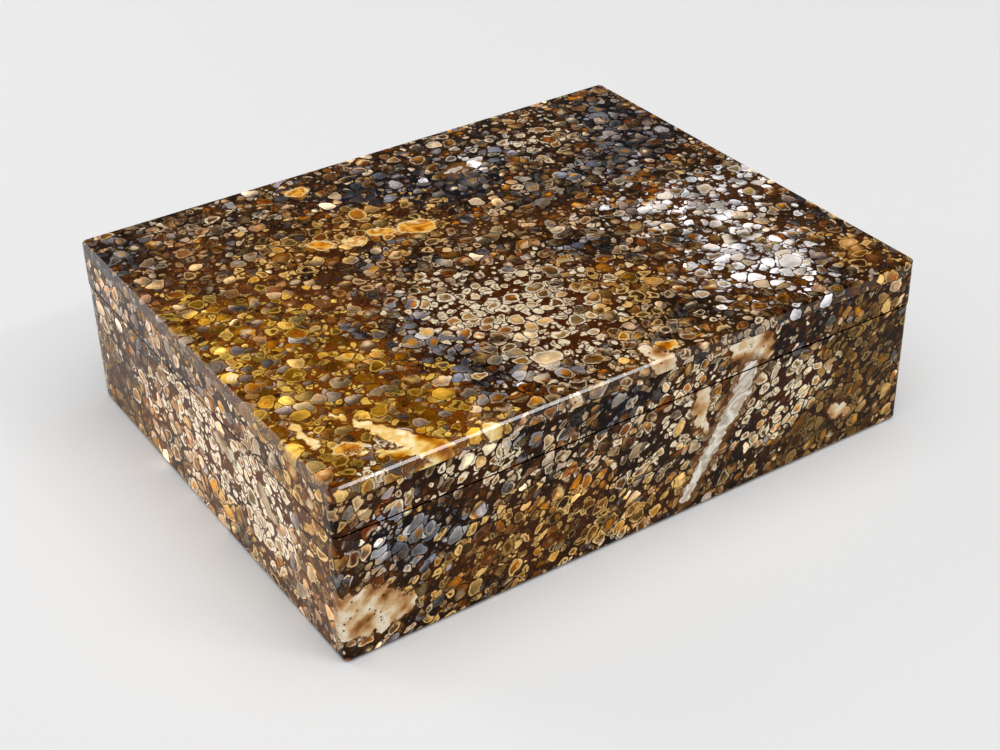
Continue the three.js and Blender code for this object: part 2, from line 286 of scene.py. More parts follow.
TOP_FIELDS = {
    "russet": [
        oval(x=-82, y=28, across=34, along=22, turn=-10, depth=1.1),
        oval(x=-52, y=-6, across=34, along=18, turn=-10, depth=0.85),
        oval(x=-92, y=62, across=24, along=18, depth=0.6),
        oval(x=18, y=10, across=34, along=14, turn=-8, depth=0.6),
        oval(x=88, y=8, across=18, along=10, depth=0.4),
        oval(x=62, y=-50, across=34, along=34, depth=0.5),
    ],
    "milky": [
        oval(x=-47, y=-38, across=14, along=30, turn=-10, depth=1.05),
        oval(x=-30, y=-68, across=22, along=12, depth=0.9),
        oval(x=42, y=60, across=20, along=14),
        oval(x=24, y=-16, across=12, along=8),
        oval(x=72, y=26, across=30, along=14, turn=10, depth=0.95),
        oval(x=84, y=-78, across=14, along=8, depth=0.8),
    ],
    "gold": [
        oval(x=-88, y=-42, across=38, along=46),
        oval(x=-98, y=4, across=24, along=30, depth=0.8),
        oval(x=-80, y=-76, across=22, along=18, depth=1.2),
    ],
    "amber": [
        oval(x=-45, y=38, across=30, along=18, turn=10),
        oval(x=-12, y=34, across=18, along=14),
        oval(x=15, y=-36, across=26, along=18, turn=-20),
        oval(x=-10, y=-60, across=30, along=20, depth=0.7),
        oval(x=98, y=-72, across=14, along=16),
    ],
    "white": [
        oval(x=68, y=-58, across=22, along=28, turn=-15, depth=1.05),
        oval(x=76, y=-13, across=27, along=18, turn=-15, depth=0.95),
        oval(x=102, y=-8, across=10, along=10),
        oval(x=24, y=56, across=12, along=7, depth=0.6),
    ],
    "slate": [
        oval(x=-6, y=54, across=24, along=18, turn=-10, depth=1.2),
        oval(x=20, y=44, across=20, along=9, turn=15),
        oval(x=84, y=32, across=24, along=14, turn=10),
        oval(x=92, y=64, across=20, along=20),
        oval(x=-38, y=-62, across=12, along=12, depth=0.6),
        oval(x=58, y=-31, across=9, along=5, turn=10),
        oval(x=-100, y=70, across=16, along=14, depth=0.7),
    ],
    "cream": [
        oval(x=-14, y=-32, across=27, along=21, turn=-20, depth=1.6),
        oval(x=-18, y=-64, across=20, along=12, depth=0.7),
        oval(x=-90, y=-80, across=10, along=6, turn=40),
        oval(x=60, y=62, across=20, along=12, depth=0.6),
    ],
}
FRONT_FIELDS = {
    "milky": [
        oval(x=-84, y=36, across=18, along=11, turn=-20, depth=1.2),
        oval(x=-48, y=55, across=10, along=5),
        oval(x=-60, y=28, across=14, along=8, depth=0.6),
    ],
    "russet": [
        oval(x=-96, y=46, across=26, along=18, depth=0.9),
    ],
    "dusky": [
        oval(x=88, y=26, across=22, along=30, depth=1.3),
        oval(x=64, y=8, across=16, along=10),
        oval(x=18, y=6, across=12, along=6, depth=0.8),
    ],
    "amber": [
        oval(x=-58, y=18, across=28, along=14, turn=10, depth=1.1),
        oval(x=-26, y=16, across=20, along=12, depth=0.9),
        oval(x=8, y=10, across=14, along=8, depth=0.7),
    ],
    "cream": [
        oval(x=56, y=32, across=14, along=16, turn=-60, depth=1.1),
        oval(x=-66, y=52, across=24, along=6, depth=0.9),
        oval(x=14, y=44, across=18, along=12, depth=0.8),
    ],
    "slate": [
        oval(x=-11, y=52, across=12, along=6, depth=1.3),
    ],
}
LEFT_FIELDS = {
    "russet": [
        oval(x=-60, y=18, across=34, along=24, depth=0.8),
        oval(x=60, y=20, across=34, along=18, depth=0.7),
    ],
    "amber": [
        oval(x=-70, y=44, across=22, along=18, depth=0.9),
        oval(x=-30, y=14, across=26, along=10, depth=0.8),
    ],
    "cream": [
        oval(x=-16, y=36, across=18, along=11, depth=2.2),
        oval(x=-46, y=30, across=16, along=12, turn=-40, depth=2.2),
        oval(x=20, y=30, across=40, along=14, depth=0.8),
    ],
    "slate": [
        oval(x=48, y=36, across=16, along=12, turn=-40, depth=0.8),
    ],
    "dusky": [
        oval(x=66, y=14, across=20, along=16),
    ],
}
FIELD_NAMES = ("russet", "dusky", "milky", "slate", "amber", "gold", "cream", "white")


def field_depth(ovals, x, y):
    """Sum over the ovals of depth times exp(-q), q the squared distance in half sizes of the oval."""
    total = np.zeros_like(x)
    for one in ovals:
        turn = math.radians(one.turn)
        dx = x - one.x
        dy = y - one.y
        along_turn = dx * math.cos(turn) + dy * math.sin(turn)
        across_turn = dy * math.cos(turn) - dx * math.sin(turn)
        q = (along_turn / one.across) ** 2 + (across_turn / one.along) ** 2
        total += one.depth * np.exp(-q)
    return total


for face, plan in (("top", TOP_FIELDS), ("front", FRONT_FIELDS), ("left", LEFT_FIELDS)):
    print("ovals on the", face + ":", sum(len(ovals) for ovals in plan.values()))

# %% [markdown]
# ## Veins
#
# Where the old stem had cracked, clear quartz filled the gap. One white vein climbs the front, and
# a fan of cream agate lies over it in the lid. A vein is a line of points with its half width at
# each. What is stored on the mesh is how far inside the vein a point lies, in mm, plus a margin, so
# that the value 0 of a slab with no vein means far away. The top has veins as yellow as butter in
# its golden corner, and a few single cells as clear as honey.

# %% Veins and patches
# Each point of a line has its two places on the face and the half width of the vein there, in mm.
VEIN_MARGIN = 10.0
FRONT_VEINS = {
    "quartz": [
        ((41.0, 46.5, 3.6), (37.0, 38.0, 4.0), (31.0, 29.0, 3.4), (24.0, 18.0, 2.8), (16.0, 6.0, 2.2)),
    ],
    "agate": [
        ((36.0, 56.0, 4.5), (44.0, 54.0, 6.0), (47.0, 50.0, 2.5)),
        ((-108.0, 16.0, 8.4), (-98.0, 15.0, 8.4), (-89.0, 13.0, 4.5)),
        ((-112.0, 24.0, 2.0), (-100.0, 24.5, 2.5)),
        ((22.0, 44.0, 3.4), (20.0, 35.0, 3.0), (24.0, 30.0, 1.6)),
        ((79.0, 15.0, 3.0), (85.0, 13.0, 2.2)),
    ],
}
TOP_VEINS = {
    "quartz": [
        ((24.0, 57.0, 2.2), (18.0, 56.0, 0.8)),
    ],
    "butter": [
        ((-93.0, -52.0, 0.8), (-86.0, -66.0, 2.4), (-80.0, -78.0, 3.8), (-74.0, -88.0, 4.2)),
        ((-104.0, -50.0, 1.0), (-103.0, -66.0, 2.4)),
        ((-97.0, -74.0, 1.0), (-86.0, -82.0, 2.2), (-78.0, -86.0, 2.4)),
        ((-60.0, -80.0, 1.2), (-56.0, -88.0, 2.4)),
    ],
    "agate": [
        ((4.0, -80.0, 3.2), (6.0, -88.0, 4.2)),
        ((-30.0, -83.0, 0.8), (-27.0, -88.0, 1.8)),
    ],
    "honey": [
        ((-14.0, 29.0, 4.2), (-10.0, 28.0, 5.0)),
        ((-46.0, 37.0, 2.6), (-44.0, 35.0, 3.0)),
        ((-36.0, 32.0, 2.2), (-33.0, 31.0, 2.8)),
        ((-25.0, 33.0, 2.8), (-22.0, 31.0, 2.2)),
        ((-35.0, 75.0, 2.4), (-32.0, 75.0, 2.8)),
        ((9.0, -81.0, 2.4), (12.0, -82.0, 2.4)),
        ((-97.0, -72.0, 3.0), (-95.0, -74.0, 2.6)),
    ],
}
LEFT_VEINS = {
    "agate": [
        ((-12.0, 38.0, 2.6), (-20.0, 36.0, 3.2)),
        ((-40.0, 36.0, 2.0), (-47.0, 29.0, 2.8)),
    ],
}
VEIN_NAMES = ("honey", "butter", "agate", "quartz")


def vein_depth(lines, x, y):
    """Largest over the lines of half width minus the distance to the nearest piece of the line."""
    deepest = np.full_like(x, -VEIN_MARGIN)
    for line in lines:
        for (ax, ay, aw), (bx, by, bw) in zip(line, line[1:]):
            run = (bx - ax) ** 2 + (by - ay) ** 2
            share = np.clip(((x - ax) * (bx - ax) + (y - ay) * (by - ay)) / run, 0, 1)
            off = np.hypot(x - ax - share * (bx - ax), y - ay - share * (by - ay))
            deepest = np.maximum(deepest, aw + (bw - aw) * share - off)
    return deepest + VEIN_MARGIN


print("veins and patches on the front:", sum(len(lines) for lines in FRONT_VEINS.values()))

# %% [markdown]
# ## The stone
#
# Fossil palm wood shows the ends of thousands of stem cells, turned to agate. Each is a round or
# squeezed ring: a thin cream rim round an amber, grey or white middle, in a dark brown ground. The
# rings come in several sizes, and the small ones fill the gaps between the large ones.
#
# A Voronoi texture gives such a pattern: every point knows the nearest of many scattered seeds, how
# far off it is, and a random number of that seed. A cell is drawn where the distance is less than
# its own random radius, and where it meets a neighbour it stops half way. Four sizes are laid one
# after the other, each only in the room that the larger ones leave. The texture is solid, cut by
# the faces of the slab, so a cell on an edge runs round it as in real stone.
#
# All places in the stone are in mm. A noise of scale 0.9 has lumps about 1 mm wide, like the mottle
# of agate. One of scale 0.1 has clouds 10 mm wide. The real grit is finer than the 0.7 mm drawn
# here, which is as fine as still shows in the picture.

# %% Sizes of the cells
# The seeds of one kind lie about its size apart, in mm. A cell's radius, as a share of the size, is
# room plus spread times its dice. A seed whose radius is under zero has no cell. Where the plan says
# white, amber or gold, the largest kind grows by the last number.
CELL_KINDS = (
    SimpleNamespace(size=8.5, room=-0.64, spread=1.0, grows=0.3),
    SimpleNamespace(size=4.3, room=0.05, spread=0.66, grows=0.0),
    SimpleNamespace(size=3.0, room=0.10, spread=0.55, grows=0.0),
    SimpleNamespace(size=1.9, room=-0.09, spread=0.55, grows=0.0),
)
WIDEST = 0.62
CELL_GAP = 0.02
ROUNDED = 0.42
print("kinds of cell:", len(CELL_KINDS))

# %% [markdown]
# ## Colours of the stone
#
# Iron and manganese stained the agate while it grew, so each part of the slab has its own family of
# colours. Each field has a palette for its cells, a colour for the ground between them and one for
# their rims. All were matched to the photograph. A palette becomes the stops of a Color Ramp, and the
# random number of a cell picks its colour there. The alpha of a stop takes its second number along.

# %% Colours of the cells
# Each colour has a number from 0 to 1 beside it, which says how strong the rim of such a cell is.
PALETTES = {
    "common": (
        ("#5c5658", 0.1), ("#a69f9f", 0.1), ("#c4bebc", 0.1), ("#7c5a3c", 0.6), ("#e2c48e", 0.9),
        ("#8a5014", 0.9), ("#b8741a", 0.9), ("#6e3c10", 0.8), ("#d29a3a", 1.0), ("#9a5c18", 0.9),
        ("#f0dcb4", 0.7), ("#7a4414", 0.9), ("#c48430", 1.0), ("#4e2a10", 0.4), ("#e8d0a0", 0.8),
        ("#a06a2c", 0.9), ("#b8a8a0", 0.2),
    ),
    "russet": (
        ("#6a3412", 0.5), ("#a8642a", 0.6), ("#8a4a18", 0.8), ("#c89058", 0.8), ("#5a2c10", 0.4),
        ("#b0a4a2", 0.1), ("#b87830", 0.8), ("#e6cca0", 0.8), ("#8c5020", 0.8),
    ),
    "dusky": (
        ("#6a481a", 0.3), ("#8a6426", 0.4), ("#563a18", 0.2), ("#a68242", 0.5), ("#785422", 0.3),
        ("#b89a64", 0.5), ("#926e30", 0.4),
    ),
    "milky": (
        ("#8a8d98", 0.1), ("#b8bac0", 0.2), ("#6e707c", 0.1), ("#dcd6cc", 0.5), ("#a0a5b0", 0.1),
        ("#d0b678", 0.7), ("#9094a0", 0.1), ("#ccccd0", 0.2),
    ),
    "gold": (
        ("#7a4e08", 0.5), ("#b47c0c", 0.8), ("#dca01c", 0.9), ("#8b590a", 0.7), ("#eab83c", 0.9),
        ("#f4d488", 0.6), ("#b8aca8", 0.1), ("#c4880f", 0.9), ("#d8d0cc", 0.1), ("#9a680e", 0.7),
    ),
    "amber": (
        ("#52300f", 0.4), ("#8a5010", 0.9), ("#b4741a", 0.9), ("#c8902e", 1.0), ("#96601c", 0.9),
        ("#d8b066", 0.9), ("#6b4010", 0.6), ("#b98230", 1.0),
    ),
    "white": (
        ("#f4efe8", 0.1), ("#ffffff", 0.1), ("#c4bcb0", 0.5), ("#f8f0e0", 0.5), ("#8c6a24", 0.9),
        ("#ffffff", 0.0), ("#a88c3c", 0.9), ("#ece8e0", 0.0), ("#ffffff", 0.1),
    ),
    "slate": (
        ("#38373a", 0.0), ("#5a5b61", 0.1), ("#787a80", 0.1), ("#9c9ca0", 0.1), ("#4c423a", 0.1),
        ("#9a8668", 0.7), ("#66686f", 0.1), ("#bcb4a4", 0.4), ("#6a5034", 0.6),
    ),
    "cream": (
        ("#b87218", 1.0), ("#f0cc88", 1.0), ("#c48024", 1.0), ("#f8dca0", 0.9), ("#8a4e0c", 1.0),
        ("#e8b860", 1.0), ("#b07018", 1.0), ("#d8a048", 1.0),
    ),
}
# The ground between the cells, and the colour of the rims, in each field.
GROUNDS = {
    "russet": "#50341a", "dusky": "#3a2812", "milky": "#241a14", "gold": "#6c4216",
    "amber": "#4c2f16", "white": "#4a3018", "slate": "#1e1c1f", "cream": "#4a2a10",
}
RIM_COLOURS = {
    "common": "#ffeccc", "russet": "#f6d6a4", "dusky": "#c8ac78", "milky": "#ece4d8",
    "gold": "#fad878", "amber": "#fcd894", "white": "#ffffff", "slate": "#c4c0be",
    "cream": "#fff2d4",
}
# Every cell has its own brightness, between the least of its field and one most for all.
DIMMEST = {
    "common": 0.26, "russet": 0.3, "dusky": 0.5, "milky": 0.5, "gold": 0.42, "amber": 0.34,
    "white": 0.90, "slate": 0.42, "cream": 0.55,
}
BRIGHTEST = 1.2
COMMON_GROUND = ("#15120d", "#201810", "#342616", "#50391c", "#624724")
print("colours of cells:", sum(len(palette) for palette in PALETTES.values()))

# %% [markdown]
# ## One size of cell
#
# A Voronoi texture gives the nearest seed, a random number for it, and the distance to the border
# with the next seed. The radius is random. Where a round cell and its straight border meet, a smooth
# minimum rounds the corner off, as cells that grew against each other have no sharp corners.

# %% One layer of cells
def cell_layer(tree, place, kind, room, larger, giants, grown):
    """How deep a point lies in a cell of this kind, in mm, with the cell's dice, radius and middle.

    The depth is the smooth minimum of radius minus distance and the distance to the border."""
    seeds = add(tree, "TexVoronoi", {"Vector": place, "Scale": 1 / kind.size}, feature="F1")
    borders = add(tree, "TexVoronoi", {"Vector": place, "Scale": 1 / kind.size},
                  feature="DISTANCE_TO_EDGE")
    dice = add(tree, "SeparateXYZ", seeds.outputs["Color"])
    fewer = giants if kind is CELL_KINDS[0] else 0.0
    low = add(tree, "Math", room, kind.room + fewer, operation="ADD")
    low = add(tree, "Math", grown, kind.grows, low, operation="MULTIPLY_ADD")
    radius = add(tree, "Math", dice.outputs["X"], kind.spread, low, operation="MULTIPLY_ADD")
    radius = add(tree, "Math", radius, WIDEST, operation="MINIMUM")
    ring = add(tree, "Math", radius, seeds.outputs["Distance"], operation="SUBTRACT")
    depth = add(tree, "Math", ring, borders.outputs["Distance"], ROUNDED, operation="SMOOTH_MIN")
    depth = add(tree, "Math", depth, kind.size, -CELL_GAP / 2, operation="MULTIPLY_ADD")
    if larger is not None:
        free = add(tree, "Math", larger, -1.0, -CELL_GAP, operation="MULTIPLY_ADD")
        depth = add(tree, "Math", depth, free, operation="MINIMUM")
    width = add(tree, "Math", radius, kind.size, operation="MULTIPLY")
    local = add(tree, "VectorMath", place, seeds.outputs["Position"], operation="SUBTRACT")
    return SimpleNamespace(depth=depth, dice=seeds.outputs["Color"], width=width, local=local)


print("largest radius of a cell:", round(WIDEST * CELL_KINDS[0].size, 1), "mm")

# %% [markdown]
# ## All sizes together
#
# The stone is bent by two noises before the cells are laid, because no cell of a plant is a true
# circle. A slow noise opens and closes the room for cells. Where two sizes meet, the deeper cell is
# kept, with its dice, its width and its seed. The three parts of the dice are used for three things:
# how large and bright a cell is, which colour of its palette it takes, and which field it is in.

# %% The cells
# A bend has the scale of its noise and how far it shifts the stone, in mm. The mean of every noise
# is one half. CROWDS is the slow noise that opens and closes the room for cells.
BENDS = (SimpleNamespace(scale=0.23, shift=2.8), SimpleNamespace(scale=0.7, shift=0.8))
NOISE_MEAN = 0.5
CROWDS = SimpleNamespace(scale=0.06, more=0.6, least=-0.25)
# How much more room the cells of these fields get.
ROOMIER = {"white": 0.05, "amber": 0.10, "gold": 0.10}
GOLD_GROWS = 0.3


def bend_place(tree, block):
    """The place shifted by each noise less its mean, times the shift in mm."""
    bent = block
    for bend in BENDS:
        noise = add(tree, "TexNoise", {"Vector": block, "Scale": bend.scale, "Detail": 1.0})
        noise = add(tree, "VectorMath", noise.outputs["Color"], (NOISE_MEAN,) * 3,
                    operation="SUBTRACT")
        bent = add(tree, "VectorMath", noise, (bend.shift,) * 3, bent, operation="MULTIPLY_ADD")
    return bent


def lay_cells(tree, block, bent, stored, packing, giants):
    """The deepest cell at each point, of all four kinds. part is its depth as a share of its width,
    and lean a direction of its own: its dice times 2 minus 1."""
    crowd = add(tree, "TexNoise", {"Vector": block, "Scale": CROWDS.scale, "Detail": 2.0})
    room = add(tree, "Math", crowd, CROWDS.more, packing + CROWDS.least, operation="MULTIPLY_ADD")
    for field, more in ROOMIER.items():
        room = add(tree, "Math", stored[field], more, room, operation="MULTIPLY_ADD")
    grown = add(tree, "Math", stored["white"], stored["amber"], operation="MAXIMUM")
    grown = add(tree, "Math", stored["gold"], GOLD_GROWS, grown, operation="MULTIPLY_ADD")
    cell = cell_layer(tree, bent, CELL_KINDS[0], room, None, giants, grown)
    for kind in CELL_KINDS[1:]:
        layer = cell_layer(tree, bent, kind, room, cell.depth, giants, grown)
        chosen = add(tree, "Math", layer.depth, cell.depth, operation="GREATER_THAN")
        cell.dice = add(tree, "Mix", chosen, cell.dice, layer.dice, data_type="VECTOR")
        cell.local = add(tree, "Mix", chosen, cell.local, layer.local, data_type="VECTOR")
        cell.width = add(tree, "Mix", chosen, cell.width, layer.width, data_type="FLOAT")
        cell.depth = add(tree, "Math", cell.depth, layer.depth, operation="MAXIMUM")
    dice = add(tree, "SeparateXYZ", cell.dice)
    cell.size_die, cell.colour_die, cell.field_die = (dice.outputs[axis] for axis in "XYZ")
    cell.part = add(tree, "Math", cell.depth, cell.width, operation="DIVIDE")
    cell.lean = add(tree, "VectorMath", cell.dice, (2.0,) * 3, (-1.0,) * 3, operation="MULTIPLY_ADD")
    return cell


print("the stone is bent by up to", sum(bend.shift / 2 for bend in BENDS), "mm")

# %% [markdown]
# ## Colours by field
#
# A cell takes one colour of a palette by its dice, so a whole cell has one colour. Outside the
# fields a slow noise picks the part of the palette, so neighbours are alike. In a field, the cell's
# dice and the depth of the field decide together whether the cell belongs to it, so at the border of
# a field its cells stand mixed with others. The ground takes a darker colour of the field.

# %% Cells, rims and ground of the fields
# The brightest cells are also pale. FAMILY is the slow noise that picks the common colours.
LIGHT_AGAIN = 7.0
PALE_FROM = 0.84
PALEST = 0.9
FAMILY = SimpleNamespace(scale=0.055, more=2.0, least=-0.85, by_dice=0.7)
VIVID = 1.12
# The clouds of the stone make a field ragged. Over the border a cell, or the ground, belongs to it.
RAGGED = SimpleNamespace(more=1.6, least=0.2)
FIELD_BY_DICE = 0.85
FIELD_BY_MOTTLE = 0.15
FIELD_BORDER = (0.94, 1.04)
GROUND_BY_CLOUD = 0.6
GROUND_BORDER = (0.45, 1.15)


def roll_again(tree, die, times):
    """A new random number of the same cell: the fraction of its die times a number."""
    more = add(tree, "Math", die, times, operation="MULTIPLY")
    return add(tree, "Math", more, operation="FRACT")


def paint_fields(tree, block, cell, stored, noise):
    """Colour of the cell, strength and colour of its rim, and the ground, field over field. The
    last field is the white one, which the light treats in its own way."""
    light = roll_again(tree, cell.size_die, LIGHT_AGAIN)
    pale = add(tree, "MapRange", light, PALE_FROM, 1.0, 0.0, PALEST)
    family = add(tree, "TexNoise", {
        "Vector": block, "Scale": FAMILY.scale, "Detail": 2.0, "Roughness": 0.6})
    family = add(tree, "Math", family, FAMILY.more, FAMILY.least, operation="MULTIPLY_ADD")
    pick = add(tree, "Math", cell.colour_die, FAMILY.by_dice, family, operation="MULTIPLY_ADD",
               use_clamp=True)
    core = add(tree, "ValToRGB", pick, stops=PALETTES["common"])
    glow = add(tree, "MapRange", light, 0.0, 1.0, DIMMEST["common"], BRIGHTEST)
    vivid = add(tree, "HueSaturation", {"Saturation": VIVID, "Color": core})
    lit = add(tree, "Mix", pale, vivid, RIM_COLOURS["common"], data_type="RGBA")
    colour = add(tree, "VectorMath", {0: lit, "Scale": glow}, operation="SCALE")
    rim = core.outputs["Alpha"]
    edge = linear(RIM_COLOURS["common"])
    ground = add(tree, "ValToRGB", noise.cloud, stops=COMMON_GROUND)
    for field in FIELD_NAMES:
        ragged = add(tree, "Math", noise.cloud, RAGGED.more, RAGGED.least, operation="MULTIPLY_ADD")
        deep = add(tree, "Math", stored[field], ragged, operation="MULTIPLY")
        chance = add(tree, "Math", cell.field_die, FIELD_BY_DICE, deep, operation="MULTIPLY_ADD")
        chance = add(tree, "Math", noise.mottle, FIELD_BY_MOTTLE, chance, operation="MULTIPLY_ADD")
        inside = add(tree, "MapRange", chance, *FIELD_BORDER, 0.0, 1.0)
        core = add(tree, "ValToRGB", cell.colour_die, stops=PALETTES[field])
        glow = add(tree, "MapRange", light, 0.0, 1.0, DIMMEST[field], BRIGHTEST)
        lit = add(tree, "Mix", pale, core, RIM_COLOURS[field], data_type="RGBA")
        lit = add(tree, "VectorMath", {0: lit, "Scale": glow}, operation="SCALE")
        colour = add(tree, "Mix", inside, colour, lit, data_type="RGBA")
        rim = add(tree, "Mix", inside, rim, core.outputs["Alpha"], data_type="FLOAT")
        edge = add(tree, "Mix", inside, edge, RIM_COLOURS[field], data_type="RGBA")
        around = add(tree, "Math", noise.cloud, GROUND_BY_CLOUD, deep, operation="MULTIPLY_ADD")
        around = add(tree, "MapRange", around, *GROUND_BORDER, 0.0, 1.0)
        ground = add(tree, "Mix", around, ground, GROUNDS[field], data_type="RGBA")
    return SimpleNamespace(colour=colour, rim=rim, edge=edge, ground=ground, in_white=inside)


print("fields, from the lowest to the one that lies over all:", *FIELD_NAMES)

# %% [markdown]
# ## Heart and light of a cell
#
# Agate grows inward from the wall of a cell, so a cell has faint rings that follow the wall, and
# often a heart of another colour that lies off its middle. Each cell is also painted lighter on one
# side and darker on the other, painted light and shade from one side, turned a little in each cell,
# so that it looks clear and round. All of this comes from two numbers: the depth below the cell's
# wall, and the place inside the cell, measured from its seed.

# %% Heart and light
HEARTS = (
    "#9a9aa6", "#e8c47c", "#5a3410", "#f6e4c0", "#cc8818", "#e0a824", "#b46e14", "#704210", "#dca434",
    "#a86810",
)
# Where the heart lies, how far it reaches and how it fades, all as shares of the cell's width, and
# how clear it is outside the white field and in it.
HEART_OFF = 0.30
HEART_RAGGED = 0.5
HEART_AGAIN = 11.0
HEART_REACH = (0.28, 0.85)
HEART_BORDER = (-0.14, 0.20)
HEART_CLEAR = (0.9, 0.25)
WHITE_FROM = 0.3
# The side from which painted light falls on the cells, and how much each thing adds to their light.
LIT_FROM = (-0.5, 0.7, 0.5)
SIDE_LIGHT = 0.55
MEAN_LIGHT = 0.86
GROWTH_RINGS = 16.0
RING_LIGHT = 0.12
GRIT_LIGHT = 0.45
LEAST_LIGHT = 0.2
CLOUD_FROM = (0.36, 0.62)
CLOUD_LIGHT = (0.46, 1.25)
WHITE_LIGHT = 0.25


def paint_heart(tree, cell, paint, stored, noise):
    """Lays the heart over the cell, and keeps how far inside the heart a point lies."""
    off = add(tree, "Math", cell.width, HEART_OFF, operation="MULTIPLY")
    off = add(tree, "VectorMath", {0: cell.lean, "Scale": off}, operation="SCALE")
    off = add(tree, "VectorMath", cell.local, off, operation="SUBTRACT")
    off = add(tree, "VectorMath", off, operation="LENGTH")
    off = add(tree, "Math", off, cell.width, operation="DIVIDE")
    off = add(tree, "Math", noise.mottle, HEART_RAGGED, off, operation="MULTIPLY_ADD")
    reach = roll_again(tree, cell.colour_die, HEART_AGAIN)
    reach = add(tree, "MapRange", reach, 0.0, 1.0, *HEART_REACH)
    cell.heart = add(tree, "Math", reach, off, operation="SUBTRACT")
    stain_and_shade = add(tree, "ValToRGB", cell.field_die, stops=HEARTS)
    most = add(tree, "MapRange", stored["white"], WHITE_FROM, 1.0, *HEART_CLEAR)
    filled = add(tree, "MapRange", cell.heart, *HEART_BORDER, 0.0, most)
    paint.colour = add(tree, "Mix", filled, paint.colour, stain_and_shade, data_type="RGBA")


def paint_light(tree, cell, paint, noise):
    """Paints light on one side of the cell and shade on the other, adds its rings and its grit, and
    dims it where the stone is cloudy.
    """
    # Painted light and shade: the side toward LIT_FROM, leaned by the cell's dice, is made lighter.
    side = add(tree, "VectorMath", cell.lean, LIT_FROM, operation="ADD")
    side = add(tree, "VectorMath", cell.local, side, operation="DOT_PRODUCT")
    side = add(tree, "Math", side, cell.width, operation="DIVIDE")
    rings = add(tree, "Math", cell.part, GROWTH_RINGS, noise.mottle, operation="MULTIPLY_ADD")
    rings = add(tree, "Math", rings, operation="SINE")
    shade = add(tree, "Math", side, SIDE_LIGHT, MEAN_LIGHT, operation="MULTIPLY_ADD")
    shade = add(tree, "Math", rings, RING_LIGHT, shade, operation="MULTIPLY_ADD")
    shade = add(tree, "Math", noise.grit, GRIT_LIGHT, shade, operation="MULTIPLY_ADD")
    shade = add(tree, "Math", shade, LEAST_LIGHT, operation="MAXIMUM")
    dimmer = add(tree, "MapRange", noise.cloud, *CLOUD_FROM, *CLOUD_LIGHT)
    shade = add(tree, "Math", shade, dimmer, operation="MULTIPLY")
    shade = add(tree, "Math", paint.in_white, WHITE_LIGHT, shade, operation="MULTIPLY_ADD")
    paint.colour = add(tree, "VectorMath", {0: paint.colour, "Scale": shade}, operation="SCALE")


print("colours of hearts:", len(HEARTS))

# %% [markdown]
# ## Rims
#
# The rim is the first agate that grew on the wall of the cell. Its width and its strength change
# from cell to cell, and it is ragged inward. Some hearts have a thin ring of the same stuff. A veil
# of milk lies just inside the rim, and hairlines of it run across the whole stone.

# %% Rims, rings, milk and threads
# Widths of the rim are in mm. Cells in the cream field have wider and clearer rims than others.
RIM_AGAIN = 13.0
RIM_WIDTHS = (0.2, 0.62)
RIM_RAGGED = 1.1
RIM_SOFT = 0.14
RIM_BY_DICE = 2.6
RIM_LEAST = -0.9
CREAM_WIDER = 0.12
CREAM_CLEARER = 1.2
# Hearts whose die is over the first number have a ring. Milk fades between two shares of the width.
# WORN is the light of a rim, more where its grit is bright.
RING_FROM = 0.72
RING_BORDER = (0.09, 0.03)
RING_CLEAR = 0.75
MILK_DEEP = (0.05, 0.45)
MILK_CLEAR = 0.22
MILK_SHADE = 0.75
WORN = SimpleNamespace(by_grit=1.2, least=0.4)
THREAD_WIDE = 0.012
THREAD_CLEAR = 0.4


def crossing(tree, waves, middle, wide, most):
    """A hairline where a noise crosses one value: most on the line, 0 from the given width on."""
    off = add(tree, "Math", waves, middle, operation="SUBTRACT")
    off = add(tree, "Math", off, operation="ABSOLUTE")
    return add(tree, "MapRange", off, wide, 0.0, 0.0, most)


